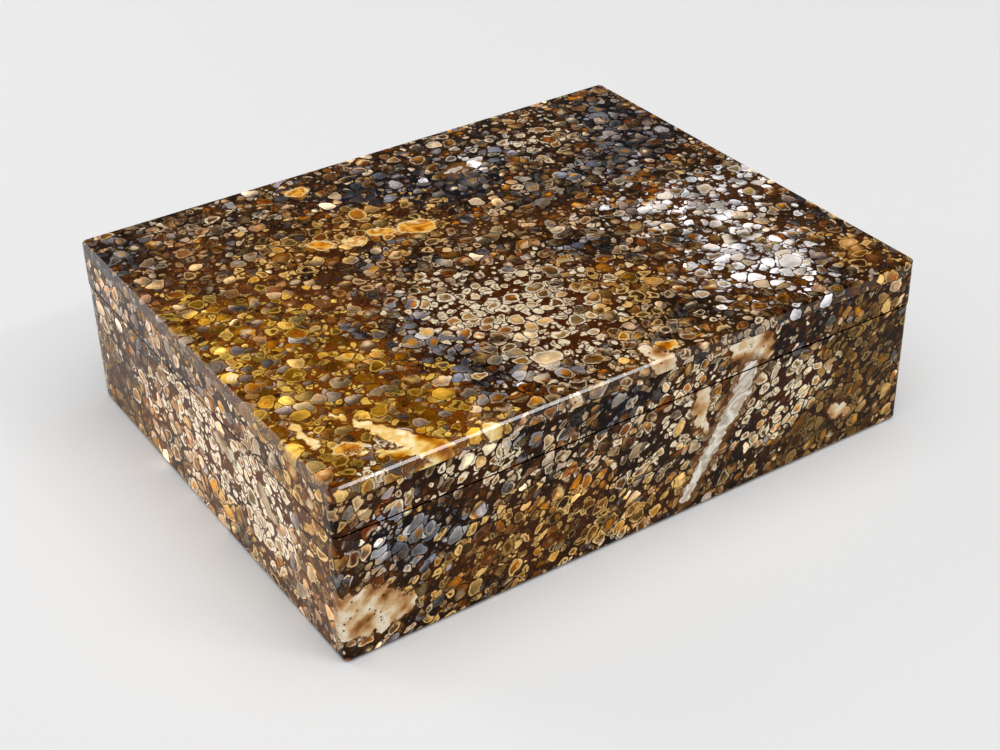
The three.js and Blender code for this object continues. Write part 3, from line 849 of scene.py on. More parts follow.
def paint_rims(tree, cell, paint, stored, noise, rims):
    """Lays the milk, the rim with the ring of the heart, and the threads over the cell."""
    thick = roll_again(tree, cell.colour_die, RIM_AGAIN)
    thick = add(tree, "MapRange", thick, 0.0, 1.0, *RIM_WIDTHS)
    thick = add(tree, "Math", stored["cream"], CREAM_WIDER, thick, operation="MULTIPLY_ADD")
    wide = add(tree, "Math", noise.mottle, RIM_RAGGED, cell.depth, operation="MULTIPLY_ADD")
    wide = add(tree, "Math", wide, thick, operation="SUBTRACT")
    border = (NOISE_MEAN * RIM_RAGGED + RIM_SOFT, NOISE_MEAN * RIM_RAGGED - RIM_SOFT)
    band = add(tree, "MapRange", wide, *border, 0.0, 1.0)
    bright = add(tree, "Math", cell.field_die, RIM_BY_DICE, RIM_LEAST, operation="MULTIPLY_ADD")
    bright = add(tree, "Math", stored["cream"], CREAM_CLEARER, bright, operation="MULTIPLY_ADD")
    bright = add(tree, "Math", bright, rims, operation="MULTIPLY")
    rim = add(tree, "Math", paint.rim, bright, operation="MULTIPLY", use_clamp=True)
    band = add(tree, "Math", band, rim, operation="MULTIPLY")
    ring = add(tree, "Math", cell.heart, operation="ABSOLUTE")
    ring = add(tree, "MapRange", ring, *RING_BORDER, 0.0, RING_CLEAR)
    ring = add(tree, "Math", ring, rim, operation="MULTIPLY")
    has_ring = add(tree, "Math", cell.field_die, RING_FROM, operation="GREATER_THAN")
    ring = add(tree, "Math", ring, has_ring, operation="MULTIPLY")
    band = add(tree, "Math", band, ring, operation="MAXIMUM")
    milk = add(tree, "MapRange", cell.part, *MILK_DEEP, MILK_CLEAR, 0.0)
    milk = add(tree, "Math", milk, rim, operation="MULTIPLY")
    veiled = add(tree, "VectorMath", {0: paint.edge, "Scale": MILK_SHADE}, operation="SCALE")
    colour = add(tree, "Mix", milk, paint.colour, veiled, data_type="RGBA")
    worn = add(tree, "Math", noise.grit, WORN.by_grit, WORN.least, operation="MULTIPLY_ADD")
    worn_edge = add(tree, "VectorMath", {0: paint.edge, "Scale": worn}, operation="SCALE")
    colour = add(tree, "Mix", band, colour, worn_edge, data_type="RGBA")
    thread = crossing(tree, noise.mottle, NOISE_MEAN, THREAD_WIDE, THREAD_CLEAR)
    paint.colour = add(tree, "Mix", thread, colour, paint.edge, data_type="RGBA")


print("width of the rims in mm, from and to:", *RIM_WIDTHS)

# %% [markdown]
# ## Ground
#
# Between the cells the stone is dark and a little clear: blurred cells show through from below, and
# fine grit makes it sparkle. Each cell has a thin dark line round it, where its wall was.

# %% Ground between the cells
# The cells below are blurred by their distance, and the wall is measured from the cell's depth.
# EARTH is the light of the ground, more where its grit is bright.
DEEPER = ("#5c3818", "#2e1f14", "#744818", "#464248", "#40280f")
BELOW_SCALE = 0.42
BELOW_BORDER = (0.55, 0.1)
BELOW_CLEAR = 0.75
EARTH = SimpleNamespace(by_grit=1.8, least=0.05)
WALL_RAGGED = 0.3
COVERED = (-0.02, 0.18)
WALL_LINE = (0.12, 0.03)
WALL_CLEAR = 0.3
WALL_COLOUR = "#24160b"


def paint_ground(tree, bent, cell, paint, noise, ground_light):
    """The ground with cells that show through from below, then the cells over it, and their walls."""
    below = add(tree, "TexVoronoi", {"Vector": bent, "Scale": BELOW_SCALE}, feature="F1")
    below_tone = add(tree, "ValToRGB", below.outputs["Color"], stops=DEEPER)
    blurred = add(tree, "MapRange", below.outputs["Distance"], *BELOW_BORDER, 0.0, BELOW_CLEAR)
    ground = add(tree, "Mix", blurred, paint.ground, below_tone, data_type="RGBA")
    earth = add(tree, "Math", noise.grit, EARTH.by_grit * ground_light, EARTH.least * ground_light,
                operation="MULTIPLY_ADD")
    ground = add(tree, "VectorMath", {0: ground, "Scale": earth}, operation="SCALE")
    wall = add(tree, "Math", noise.mottle, WALL_RAGGED, -WALL_RAGGED * NOISE_MEAN,
               operation="MULTIPLY_ADD")
    wall = add(tree, "Math", cell.depth, wall, operation="ADD")
    covered = add(tree, "MapRange", wall, *COVERED, 0.0, 1.0)
    line = add(tree, "Math", wall, operation="ABSOLUTE")
    line = add(tree, "MapRange", line, *WALL_LINE, 0.0, WALL_CLEAR)
    base = add(tree, "Mix", covered, ground, paint.colour, data_type="RGBA")
    return add(tree, "Mix", line, base, WALL_COLOUR, data_type="RGBA")


print("cells below the ground are", round(1 / BELOW_SCALE, 1), "mm apart")

# %% [markdown]
# ## Veins and patches over the cells
#
# A vein has a brown halo where iron has soaked out of it into the stone, then its own filling. How
# far its edge wanders depends on its kind: a quartz vein follows its crack, agate spreads into
# ragged patches, and a single honey-coloured cell keeps nearly the shape that is drawn.

# %% Laying the veins
# wild is how far the edge wanders, soft how wide it fades and halo how wide the halo is, all in mm.
# reach says how clear the halo is, lined how much of it is lines, spots how clear the specks are.
VEIN_FINISH = {
    "honey": SimpleNamespace(
        wild=4.5, soft=0.5, halo=0.7, reach=0.95, border="#fbe6b4", spots=0.0, lined=0.1,
        colours=("#9a5c14", "#d8901e", "#f0c46a", "#c07814", "#f8e0a8", "#d08c20")),
    "butter": SimpleNamespace(
        wild=5.0, soft=0.7, halo=1.0, reach=0.8, border="#8a5206", spots=0.0, lined=0.3,
        colours=("#a86c10", "#d8a03c", "#f2d48c", "#fff0c8", "#f0cc80", "#fff6dc")),
    "agate": SimpleNamespace(
        wild=7.0, soft=0.4, halo=1.8, reach=0.85, border="#70461f", spots=0.85, lined=0.5,
        colours=("#8a5c30", "#b98c5c", "#dcbc92", "#efdfc4", "#f7eedc", "#e6cca2")),
    "quartz": SimpleNamespace(
        wild=5.0, soft=0.4, halo=3.6, reach=0.9, border="#9a7040", spots=0.0, lined=0.5,
        colours=("#b09a80", "#e8e0d4", "#c4b8a8", "#f8f4ec", "#d0c2b0", "#fbf8f2")),
}
HALO_LINES = ("#4a2e16", "#a47a46", "#6e4a26", "#c8a878", "#7c5430")
WANDER_SCALE = 0.35
CRYSTAL_SCALE = 0.15
CRYSTAL_RANGE = (0.3, 0.7)
EDGE_BY_MOTTLE = 1.6
EDGE_BY_CELLS = 0.8
EDGE_PAST_CELLS = 0.3
SPECKS_PER_MM = 0.5
SPECK_BORDER = (0.20, 0.12)
SPECK_COLOUR = "#3a2417"
CRACK = SimpleNamespace(middle=0.52, wide=0.006, clear=0.7, colour="#6e3320")


def add_veins(tree, base, block, mottle, depth, stored):
    """Lays each kind of vein over the cells: halo, filling, and for agate its specks and cracks."""
    wander = add(tree, "TexNoise", {"Vector": block, "Scale": WANDER_SCALE, "Detail": 3.0})
    crystal = add(tree, "TexNoise", {
        "Vector": block, "Scale": CRYSTAL_SCALE, "Detail": 3.0, "Roughness": 0.45})
    crystal = add(tree, "MapRange", crystal, *CRYSTAL_RANGE, 0.0, 1.0)
    lines = add(tree, "ValToRGB", mottle, stops=HALO_LINES)
    for name in VEIN_NAMES:
        kind = VEIN_FINISH[name]
        deep = add(tree, "Math", wander, kind.wild, stored[name], operation="MULTIPLY_ADD")
        deep = add(tree, "Math", mottle, EDGE_BY_MOTTLE, deep, operation="MULTIPLY_ADD")
        edge = VEIN_MARGIN + NOISE_MEAN * kind.wild + NOISE_MEAN * EDGE_BY_MOTTLE
        if name != "honey":
            deep = add(tree, "Math", depth, EDGE_BY_CELLS, deep, operation="MULTIPLY_ADD")
            edge += EDGE_PAST_CELLS
        halo = add(tree, "MapRange", deep, edge - kind.halo, edge, 0.0, kind.reach)
        soaked = add(tree, "Mix", 1.0 - kind.lined, lines, kind.border, data_type="RGBA")
        base = add(tree, "Mix", halo, base, soaked, data_type="RGBA")
        fill = add(tree, "ValToRGB", crystal, stops=kind.colours)
        inside = add(tree, "MapRange", deep, edge, edge + kind.soft, 0.0, 1.0)
        base = add(tree, "Mix", inside, base, fill, data_type="RGBA")
        if kind.spots:
            specks = add(tree, "TexVoronoi", {"Vector": block, "Scale": SPECKS_PER_MM}, feature="F1")
            speck = add(tree, "MapRange", specks.outputs["Distance"], *SPECK_BORDER, 0.0, kind.spots)
            crack = crossing(tree, wander, CRACK.middle, CRACK.wide, CRACK.clear)
            for mark, colour in ((speck, SPECK_COLOUR), (crack, CRACK.colour)):
                mark = add(tree, "Math", mark, inside, operation="MULTIPLY")
                base = add(tree, "Mix", mark, base, colour, data_type="RGBA")
    return base


print("kinds of vein:", *VEIN_FINISH)

# %% [markdown]
# ## The whole stone
#
# Now the steps are put together, in the order in which the stone was made: the ground and the cells,
# then the veins that broke through them, then the polish. Polish deepens the colours, as water does
# on a pebble, which the Gamma node gives. The gloss is that of agate, with an IOR of 1.54, and fine
# unevenness from one grain to the next keeps the reflections from being those of a mirror.

# %% The stone
MOTTLE_SCALE = 0.9
GRIT_SCALE = 1.5
CLOUD_SCALE = 0.10
PLAIN_TINT = (1.0, 0.97, 0.955)
# Near black: painted shade for the gap along the seam between lid and base.
SEAM_PAINTED_SHADE = "#070403"
POLISH = (0.05, 0.12)
AGATE_IOR = 1.54


def fossil_stone(name, start, turn=(0, 0, 0), stretch=(1, 1, 1), packing=0.0, giants=0.0, gloss=0.25,
                 ground_light=1.0, rims=1.0, tint=PLAIN_TINT, deepen=1.3):
    """Polished fossil palm wood. start, turn and stretch place one slab's pattern in the block.

    packing is more room for all cells and giants for the largest ones. ground_light and rims are
    the brightness of the ground and of the rims, tint the colour of the light in the cells, deepen
    how much the polish darkens the stone, and gloss how strong its reflection is."""
    material, tree = new_material(name)
    block = add(tree, "TexCoord").outputs["Object"]
    block = add(tree, "Mapping", {
        "Vector": block, "Location": [MM * part for part in start], "Rotation": turn,
        "Scale": [MM * part for part in stretch]}, vector_type="TEXTURE")
    stored = {each: add(tree, "Attribute", attribute_name=each).outputs["Fac"]
              for each in (*FIELD_NAMES, *VEIN_NAMES, "seam")}
    bent = bend_place(tree, block)
    cell = lay_cells(tree, block, bent, stored, packing, giants)
    noise = SimpleNamespace()
    noise.mottle = add(tree, "TexNoise", {
        "Vector": bent, "Scale": MOTTLE_SCALE, "Detail": 3.0, "Roughness": 0.6})
    noise.grit = add(tree, "TexNoise", {
        "Vector": block, "Scale": GRIT_SCALE, "Detail": 2.0, "Roughness": 0.7})
    noise.cloud = add(tree, "TexNoise", {"Vector": block, "Scale": CLOUD_SCALE, "Detail": 3.0})
    paint = paint_fields(tree, block, cell, stored, noise)
    paint_heart(tree, cell, paint, stored, noise)
    paint_light(tree, cell, paint, noise)
    paint_rims(tree, cell, paint, stored, noise, rims)
    paint.colour = add(tree, "VectorMath", paint.colour, tint, operation="MULTIPLY")
    base = paint_ground(tree, bent, cell, paint, noise, ground_light)
    base = add_veins(tree, base, block, noise.mottle, cell.depth, stored)
    base = add(tree, "Gamma", base, deepen)
    # Painted shade: the stone turns near black where the seam number is, as the shadow in the gap
    # between lid and base.
    base = add(tree, "Mix", stored["seam"], base, SEAM_PAINTED_SHADE, data_type="RGBA")
    polish = add(tree, "MapRange", noise.mottle, 0.0, 1.0, *POLISH)
    surface = add(tree, "BsdfPrincipled", {
        "Base Color": base, "Roughness": polish, "IOR": AGATE_IOR, "Specular IOR Level": gloss})
    add(tree, "OutputMaterial", surface)
    return material


print("numbers that a point of a slab stores:", len(FIELD_NAMES) + len(VEIN_NAMES) + 1)

# %% [markdown]
# ## Five cuts of the same stone
#
# The slabs of a box are sawn from one block, but each shows another part of it: the cells are cut
# across on the top and more along the stem on the front and the left, where they look drawn out.
# Each face also has its own copy of the stone, lighter or darker and a little tinted: partly the
# stone's own colour and partly painted light, most of all on the left, which is painted much
# lighter. The back and the right don't show in the photograph, and are plain cuts of the same kind.

# %% Five cuts
STONES = {
    "top": fossil_stone(
        "fossil_palm_stone_top", start=(0, 0, 0), stretch=(1.3, 1.3, 1.3), packing=0.11,
        giants=-0.24, ground_light=1.8, rims=1.1, tint=(0.785, 0.77, 0.79), deepen=1.36,
    ),
    "front": fossil_stone(
        "fossil_palm_stone_front", start=(31, 7, 5), turn=(0, 0.9, 0), stretch=(1, 1, 1.4),
        packing=0.08, giants=-0.4, gloss=0.10, ground_light=1.6, rims=1.3, tint=(0.94, 0.955, 1.0),
        deepen=1.38,
    ),
    # The left copy is painted much lighter: partly paler stone, partly painted light on that face.
    "left": fossil_stone(
        "fossil_palm_stone_left", start=(3, 41, 17), stretch=(1.2, 1.65, 1.55), packing=0.16,
        giants=-0.4, gloss=0.06, ground_light=2.8, rims=0.8, tint=(1.29, 1.24, 1.29), deepen=1.14,
    ),
    "right": fossil_stone(
        "fossil_palm_stone_right", start=(57, 23, 9), packing=0.08, giants=-0.3, gloss=0.10,
        ground_light=1.7, rims=1.1, deepen=1.36,
    ),
    "back": fossil_stone(
        "fossil_palm_stone_back", start=(11, 67, 29), packing=0.08, giants=-0.3, ground_light=1.7,
        rims=1.1, deepen=1.36,
    ),
}
print("stone made with", len(STONES["top"].node_tree.nodes), "nodes")

# %% [markdown]
# ## The slabs
#
# Each slab is sawn, ground flat and polished. Its edges are broken by hand with a fine wheel, and
# the corners of the box are rounded after the slabs are glued on. A slab is made as one closed
# skin: the outline seen from above, carried up a profile that steps in at the eased edges. An
# outline drawn smaller by a step stays the same shape, with its corners tighter, so the edge is
# the same width all round.

# %% Outline and skin of a slab
# Distances are in mm. The chamfer has a row just inside each of its edges, which keeps it flat.
OUTLINE_STEP = 1.2
ARC_STEPS = 8
EASE_STEPS = 9
SUPPORT = 0.12
SOFTENED = 0.05
CHAMFER_ROWS = np.array([0.0, 0.06, 0.94, 1.0])


def outline(low, high, radii, inset):
    """A rectangle with round corners, drawn smaller by the inset. Points run counterclockwise."""
    corners = ((-1, -1), (1, -1), (1, 1), (-1, 1))
    starts = (math.pi, 1.5 * math.pi, 0.0, 0.5 * math.pi)
    parts = []
    for (side_x, side_y), begin, radius in zip(corners, starts, radii):
        small = max(radius - inset, 0.0)
        centre_x = (high[0] if side_x > 0 else low[0]) - side_x * (inset + small)
        centre_y = (high[1] if side_y > 0 else low[1]) - side_y * (inset + small)
        angle = begin + np.linspace(0, math.pi / 2, ARC_STEPS + 1)
        parts.append(np.stack([centre_x + small * np.cos(angle), centre_y + small * np.sin(angle)], 1))
    lengths = (high[0] - low[0], high[1] - low[1]) * 2
    loop = []
    for index, arc in enumerate(parts):
        following = parts[(index + 1) % len(parts)][0]
        count = max(int(lengths[index] / OUTLINE_STEP), 2)
        share = np.linspace(0, 1, count + 1)[1:-1, None]
        loop += [arc, arc[-1] * (1 - share) + following * share]
    return np.concatenate(loop)


def eased_profile(low_z, high_z, foot, rim, flat_rim=False, step=2.0):
    """Inset and height up the side of a slab: a quarter circle at the foot, and at the rim a quarter
    circle or a flat chamfer. A row close to each keeps the large faces flat under smooth shading."""
    turn = np.linspace(0, math.pi / 2, EASE_STEPS)
    rise = np.linspace(low_z + foot, high_z - rim, max(int((high_z - low_z) / step), 2) + 1)[1:-1]
    rise = np.concatenate([[low_z + foot + SUPPORT], rise, [high_z - rim - SUPPORT]])
    rim_inset = rim * (1 - np.cos(turn))
    rim_height = high_z - rim * (1 - np.sin(turn))
    if flat_rim:
        rim_inset = rim * CHAMFER_ROWS + SOFTENED * np.array([0, 0, 0, 1])
        rim_height = high_z - rim * (1 - CHAMFER_ROWS) - SOFTENED * np.array([1, 0, 0, 0])
    insets = [foot * (1 - np.sin(turn)), np.zeros_like(rise), rim_inset]
    heights = [low_z + foot * (1 - np.cos(turn)), rise, rim_height]
    return np.concatenate(insets), np.concatenate(heights)


def skin(low, high, radii, insets, heights):
    """Outlines at each inset and height, joined by strips of faces, with a face at either end."""
    loops = [outline(low, high, radii, inset) for inset in insets]
    count = len(loops[0])
    points = np.column_stack([np.concatenate(loops), np.repeat(heights, count)])
    here = np.arange(count)
    after = (here + 1) % count
    faces = []
    for ring in range(len(loops) - 1):
        base = ring * count
        strip = np.stack([base + here, base + after, base + count + after, base + count + here], 1)
        faces += strip.tolist()
    faces.append(here[::-1].tolist())
    faces.append((points.shape[0] - count + here).tolist())
    return points, faces


print("points in a quarter of a round corner:", ARC_STEPS + 1)

# %% [markdown]
# ## Closing the middle of a flat face
#
# The rings of the top slab and of the pads run inward until two long sides lie on one line. The
# face that fills the last ring has no area, so it is taken away and its two sides are joined, which
# leaves no hole and no stray face.

# %% Join the last ring
# Points less than a thousandth of a mm apart, here in metres, are one point.
SAME_PLACE = 1e-6


def close_middle(piece):
    """Takes away the face over the last ring, whose two sides lie on one line, and joins them."""
    shell = bmesh.new()
    shell.from_mesh(piece.data)
    shell.faces.ensure_lookup_table()
    bmesh.ops.delete(shell, geom=[shell.faces[-1]], context="FACES_ONLY")
    bmesh.ops.remove_doubles(shell, verts=shell.verts, dist=SAME_PLACE)
    shell.to_mesh(piece.data)
    shell.free()
    print("closed the middle of", piece.name)


# %% [markdown]
# ## Putting the stone on
#
# A slab stands exactly where the model has its plain one, so its size is read from the model. Each
# point then stores the depth of every field and vein there, as numbers with a name, and the shader
# reads them by that name. One more number marks the seam: there the stone is painted near black as
# painted shade for the gap between lid and base, and the gap is drawn a little wider than it is.

# %% A slab with its fields
# In mm: how much shorter a slab is drawn at the seam, how its edge is eased there, how far inward
# the painted shade of the seam is full, and how far it fades from there. The rim has rings at these
# shares of the fade. The next shares say how high the painted shade climbs, in easings of the edge.
# The top slab has no seam, so the height of its seam is put under the floor.
SEAM_SIDE = 0.15
SEAM_EASE = 0.12
SEAM_SHADE_FULL = 0.5
SEAM_SHADE_FADES = 1.0
SEAM_SHADE_RINGS = np.array([0.3, 0.6, 1.0, 1.4])
SEAM_SHADE_CLIMBS = {"left": 1.1}
SEAM_SHADE_CLIMBS_ELSE = 0.5
NO_SEAM = -1.0
TOP_RINGS = 45
SMOOTH_TO = math.radians(15)


def node_box(node):
    """Lowest and highest corner of a node of the model, in mm."""
    low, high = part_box(node)
    return np.array(low) / MM, np.array(high) / MM


def set_fields(piece, fields, veins, axes, seam_height, stain_and_shade):
    """Stores on each point how deep it lies in each field and vein, seen along the face, and
    whether it lies in the seam between base and lid."""
    count = len(piece.data.vertices)
    points = np.empty(count * 3)
    piece.data.vertices.foreach_get("co", points)
    points = points.reshape(count, 3) / MM
    x, y = points[:, axes[0]], points[:, axes[1]]
    values = {name: field_depth(fields.get(name, []), x, y) for name in FIELD_NAMES}
    values.update({name: vein_depth(veins.get(name, []), x, y) for name in VEIN_NAMES})
    off_seam = np.abs(points[:, 2] - seam_height)
    outside = np.array(cad_low[:2]) / MM
    inward = (np.abs(outside) - np.abs(points[:, :2])).min(1)
    fade = np.clip(1 - (inward - SEAM_SHADE_FULL) / SEAM_SHADE_FADES, 0, 1)
    # The seam number says where painted shade darkens the stone: full at the edge, fading inward.
    values["seam"] = np.where(off_seam < stain_and_shade, fade, 0)
    for name, stored in values.items():
        attribute = piece.data.attributes.new(name, "FLOAT", "POINT")
        attribute.data.foreach_set("value", stored.astype(np.float32))


def new_slab(node, body, radii, foot, rim, stone, plan, axes):
    """A polished slab in the place of the model's plain one."""
    low, high = node_box(node)
    if stone != "top":
        low[2] += SEAM_SIDE if body == "lid" else 0.0
        high[2] -= SEAM_SIDE if body == "base" else 0.0
    insets, heights = eased_profile(low[2], high[2], foot, rim, flat_rim=stone == "top")
    seam_height = high[2] if body == "base" else low[2]
    shaded_rings = SEAM_EASE + SEAM_SHADE_FADES * SEAM_SHADE_RINGS
    level = np.full(len(shaded_rings), seam_height)
    if stone == "top":
        seam_height = NO_SEAM
        half = (high[1] - low[1]) / 2
        inward = np.concatenate([[rim + SUPPORT], np.linspace(rim, half, TOP_RINGS)[1:]])
        insets = np.concatenate([insets, inward])
        heights = np.concatenate([heights, np.full(len(inward), high[2])])
    elif body == "base":
        insets = np.concatenate([insets, shaded_rings])
        heights = np.concatenate([heights, level])
    else:
        insets = np.concatenate([shaded_rings[::-1], insets])
        heights = np.concatenate([level, heights])
    points, faces = skin(low, high, radii, insets, heights)
    piece = new_piece(node + "_polished", points * MM, faces)
    if stone == "top":
        close_middle(piece)
    piece.data.set_sharp_from_angle(angle=SMOOTH_TO)
    stain_and_shade = SEAM_EASE * SEAM_SHADE_CLIMBS.get(stone, SEAM_SHADE_CLIMBS_ELSE)
    set_fields(piece, *plan, axes, seam_height, stain_and_shade)
    piece.data.materials.append(STONES[stone])
    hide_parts(node)
    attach(piece, body)
    print(piece.name, "has", len(piece.data.vertices), "points")


# %% [markdown]
# ## Seven slabs
#
# The long slabs lie over the ends of the short ones, so only the long ones have the round corners
# of the box. The lower edge of the base is eased more than the others, because it takes the knocks.
# The top slab has a flat polished chamfer all round. The right side doesn't show in the photograph,
# so it has the fields and veins of the left one. The two slabs at the back are left to the model,
# because they carry the housings of the hinges.

# %% Make the slabs
# Radii of the corners and easings of the edges, in mm.
CORNER = 2.0
JOINT = 0.12
TIGHT = 0.06
FOOT_EASE = 0.9
CHAMFER = 0.75
for body in ("base", "lid"):
    foot, rim = (FOOT_EASE, SEAM_EASE) if body == "base" else (SEAM_EASE, TIGHT)
    new_slab(body + "_front_slab", body, (CORNER, CORNER, JOINT, JOINT), foot, rim, "front",
             (FRONT_FIELDS, FRONT_VEINS), (0, 2))
    for side in ("left", "right"):
        new_slab(f"{body}_{side}_slab", body, (JOINT,) * 4, foot, rim, side,
                 (LEFT_FIELDS, LEFT_VEINS), (1, 2))
new_slab("lid_top_slab", "lid", (CORNER,) * 4, TIGHT, CHAMFER, "top", (TOP_FIELDS, TOP_VEINS), (0, 1))

# %% [markdown]
# ## Suede
#
# The inside is lined with suede, the flesh side of a thin leather, raised to a short nap. Nap lies
# in soft patches where fingers have brushed it, and its fibres catch light at a low angle, which is
# what the sheen of the shader is for. The fibres are drawn 0.4 mm wide, coarser than real ones, so
# that they show. Colour and bump both come from the same noise, because a fibre that stands up is
# also the one that catches light.

# %% Suede finish
# The nap is 0.12 mm high, which is its real height.
FIBRES_PER_MM = 2.4
PATCHES_PER_MM = 0.05
NAP_RANGE = (0.32, 0.68)
NAP_HEIGHT = 0.12


def suede(name, dark, light):
    """Brushed suede: fibre noise over soft patches of nap."""
    material, tree = new_material(name)
    place = add(tree, "TexCoord").outputs["Object"]
    place = add(tree, "VectorMath", {0: place, "Scale": 1 / MM}, operation="SCALE")
    fibre = add(tree, "TexNoise", {
        "Vector": place, "Scale": FIBRES_PER_MM, "Detail": 3.0, "Roughness": 0.7})
    patch = add(tree, "TexNoise", {"Vector": place, "Scale": PATCHES_PER_MM, "Detail": 3.0})
    nap = add(tree, "Math", patch, 0.5, operation="MULTIPLY")
    nap = add(tree, "Math", fibre, 0.5, nap, operation="MULTIPLY_ADD")
    nap = add(tree, "MapRange", nap, *NAP_RANGE, 0.0, 1.0)
    colour = add(tree, "Mix", nap, dark, light, data_type="RGBA")
    relief = add(tree, "Bump", {"Height": fibre, "Strength": 0.5, "Distance": NAP_HEIGHT * MM})
    surface = add(tree, "BsdfPrincipled", {
        "Base Color": colour, "Roughness": 0.95, "Specular IOR Level": 0.2, "Normal": relief,
        "Sheen Weight": 0.35, "Sheen Roughness": 0.45, "Sheen Tint": linear("#d8b894")})
    add(tree, "OutputMaterial", surface)
    return material


LINING_SUEDE = suede("brushed_suede_lining", "#4a3022", "#7d5a40")
STANDING_SUEDE = suede("pressed_suede_standing_pad", "#33241b", "#54402f")
print("suede made in two browns")

# %% [markdown]
# ## Padded pieces
#
# The walls are boards wrapped in suede, so their shown edge is rounded over by the fold. The floor
# and the lid have a pad of thin foam on card: it is full in the middle, rolls over at the edge, and
# its sides are drawn in a little between the corners, where the leather is pulled round the card.
# The height is a superellipse of the distance from the edge, with a low crown across the middle.

# %% The skin of a pad
# In mm: how far in the pad rolls over, how high its crown is and how far its sides are drawn in.
ROLL = 3.4
ROLL_ROWS = 12
FLAT_ROWS = 40
PAD_CORNER = 2.5
FULLNESS = 2.5
CROWN = 0.45
DRAWN_IN = 0.55
DRAWN_POWER = 5
WAVE = 0.1
WAVE_TURNS = np.array([0.11, 0.13])
WAVE_START = np.array([0.7, 0.4])


def pad_skin(low, high, face_up):
    """A pad: height = (1 - (1 - inset / roll) to the 2.5) to the 1 / 2.5, plus crown and wave."""
    half = (high[:2] - low[:2]) / 2
    middle = (high[:2] + low[:2]) / 2
    deep = half.min()
    rolled = ROLL * (1 - np.cos(np.linspace(0, math.pi / 2, ROLL_ROWS)))
    insets = np.concatenate([rolled, np.linspace(ROLL, deep, FLAT_ROWS)[1:]])
    points, faces = skin(low[:2], high[:2], (PAD_CORNER,) * 4, insets, insets)
    inset = points[:, 2].copy()
    share = (points[:, :2] - middle) / half
    shoulder = (1 - np.clip(1 - inset / ROLL, 0, 1) ** FULLNESS) ** (1 / FULLNESS)
    crown = (1 - share[:, 0] ** 2) * (1 - share[:, 1] ** 2)
    wave = np.sin(points[:, :2] * WAVE_TURNS + WAVE_START).prod(1)
    thick = high[2] - low[2]
    rise = shoulder * (thick - CROWN - WAVE) + CROWN * crown * shoulder + WAVE * wave * crown * shoulder
    pulled = DRAWN_IN * np.stack([1 - share[:, 1] ** 2, 1 - share[:, 0] ** 2], 1)
    points[:, :2] -= pulled * share ** DRAWN_POWER
    points[:, 2] = low[2] + rise if face_up else high[2] - rise
    if not face_up:
        faces = [face[::-1] for face in faces]
    return points, faces


print("a pad rolls over within", ROLL, "mm of its edge")

# %% [markdown]
# ## Putting the suede on
#
# Each soft piece stands in the place of one plain solid of the model, stays within it, and says how
# full it is. The boards are full. The two pads lie on foam, so they have some air.

# %% Make the pads and the boards
FOLD = 0.7
BOARD_EDGE = 0.3
BOARD_CORNER = 0.4
PAD_FILL = 0.9
BOARD_FILL = 1.0


def finish_soft(piece, node, body, material, fill):
    """Gives a soft piece its finish and its body, hides the node that it stands for, and prints how
    full it is.
    """
    piece.data.materials.append(material)
    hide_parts(node)
    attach(piece, body)
    print(piece.name, "is filled to", fill)


for node, body, face_up in (("base_floor_pad", "base", True), ("lid_pad", "lid", False)):
    points, faces = pad_skin(*node_box(node), face_up)
    piece = new_piece(node + "_suede", points * MM, faces)
    close_middle(piece)
    finish_soft(piece, node, body, LINING_SUEDE, PAD_FILL)

for body in ("base", "lid"):
    foot, rim = (BOARD_EDGE, FOLD) if body == "base" else (FOLD, BOARD_EDGE)
    for side in ("front", "back", "left", "right"):
        node = f"{body}_{side}_lining"
        low, high = node_box(node)
        insets, heights = eased_profile(low[2], high[2], foot, rim)
        points, faces = skin(low, high, (BOARD_CORNER,) * 4, insets, heights)
        piece = new_piece(node + "_suede", points * MM, faces)
        piece.data.set_sharp_from_angle(angle=SMOOTH_TO)
        finish_soft(piece, node, body, LINING_SUEDE, BOARD_FILL)

# %% [markdown]
# ## The pad under the box
#
# A thin board wrapped in darker suede keeps the stone off the table. The weight of the box has
# pressed it flat, so only its edges are round.

# %% Make the pad under the box
STAND_FOOT = 0.1
STAND_RIM = 0.25
STAND_CORNER = 3.0
STAND_ROWS_APART = 0.2
low, high = node_box("base_standing_pad")
insets, heights = eased_profile(low[2], high[2], STAND_FOOT, STAND_RIM, step=STAND_ROWS_APART)
points, faces = skin(low, high, (STAND_CORNER,) * 4, insets, heights)
piece = new_piece("base_standing_pad_suede", points * MM, faces)
finish_soft(piece, "base_standing_pad", "base", STANDING_SUEDE, BOARD_FILL)

# %% [markdown]
# ## Walnut
#
# The carcass is walnut, planed, sanded and waxed. Its grain runs along each board: long streaks of
# darker wood, and short dark pores where the vessels are cut open. Both are noise that is stretched
# along the grain, by 30 to 1 for the streaks and 20 to 1 for the pores. Real pores are about 0.2 mm
# wide and several mm long. The wax fills them in part and gives the wood a soft, uneven shine.

# %% Walnut finish
# How much closer the pattern lies along X, Y and Z, for a board with its grain along X. A pore is
# where its noise is low. The wax is rougher where the wood is lighter.
STREAK_SHAPE = (0.033, 1.0, 1.0)
PORE_SHAPE = (0.16, 3.2, 3.2)
STREAKS_PER_MM = 0.35
FINE_PER_MM = 1.6
FINE_SHARE = 0.3
WOOD = ("#26160d", "#3c2415", "#54341f", "#6a4529", "#7d5534")
PORE_COLOUR = "#1a0f09"
PORE_BORDER = (0.36, 0.28)
PORE_DEPTH = 0.06
FINE_RANGE = (0.3, 0.7)
WAXED = (0.34, 0.5)


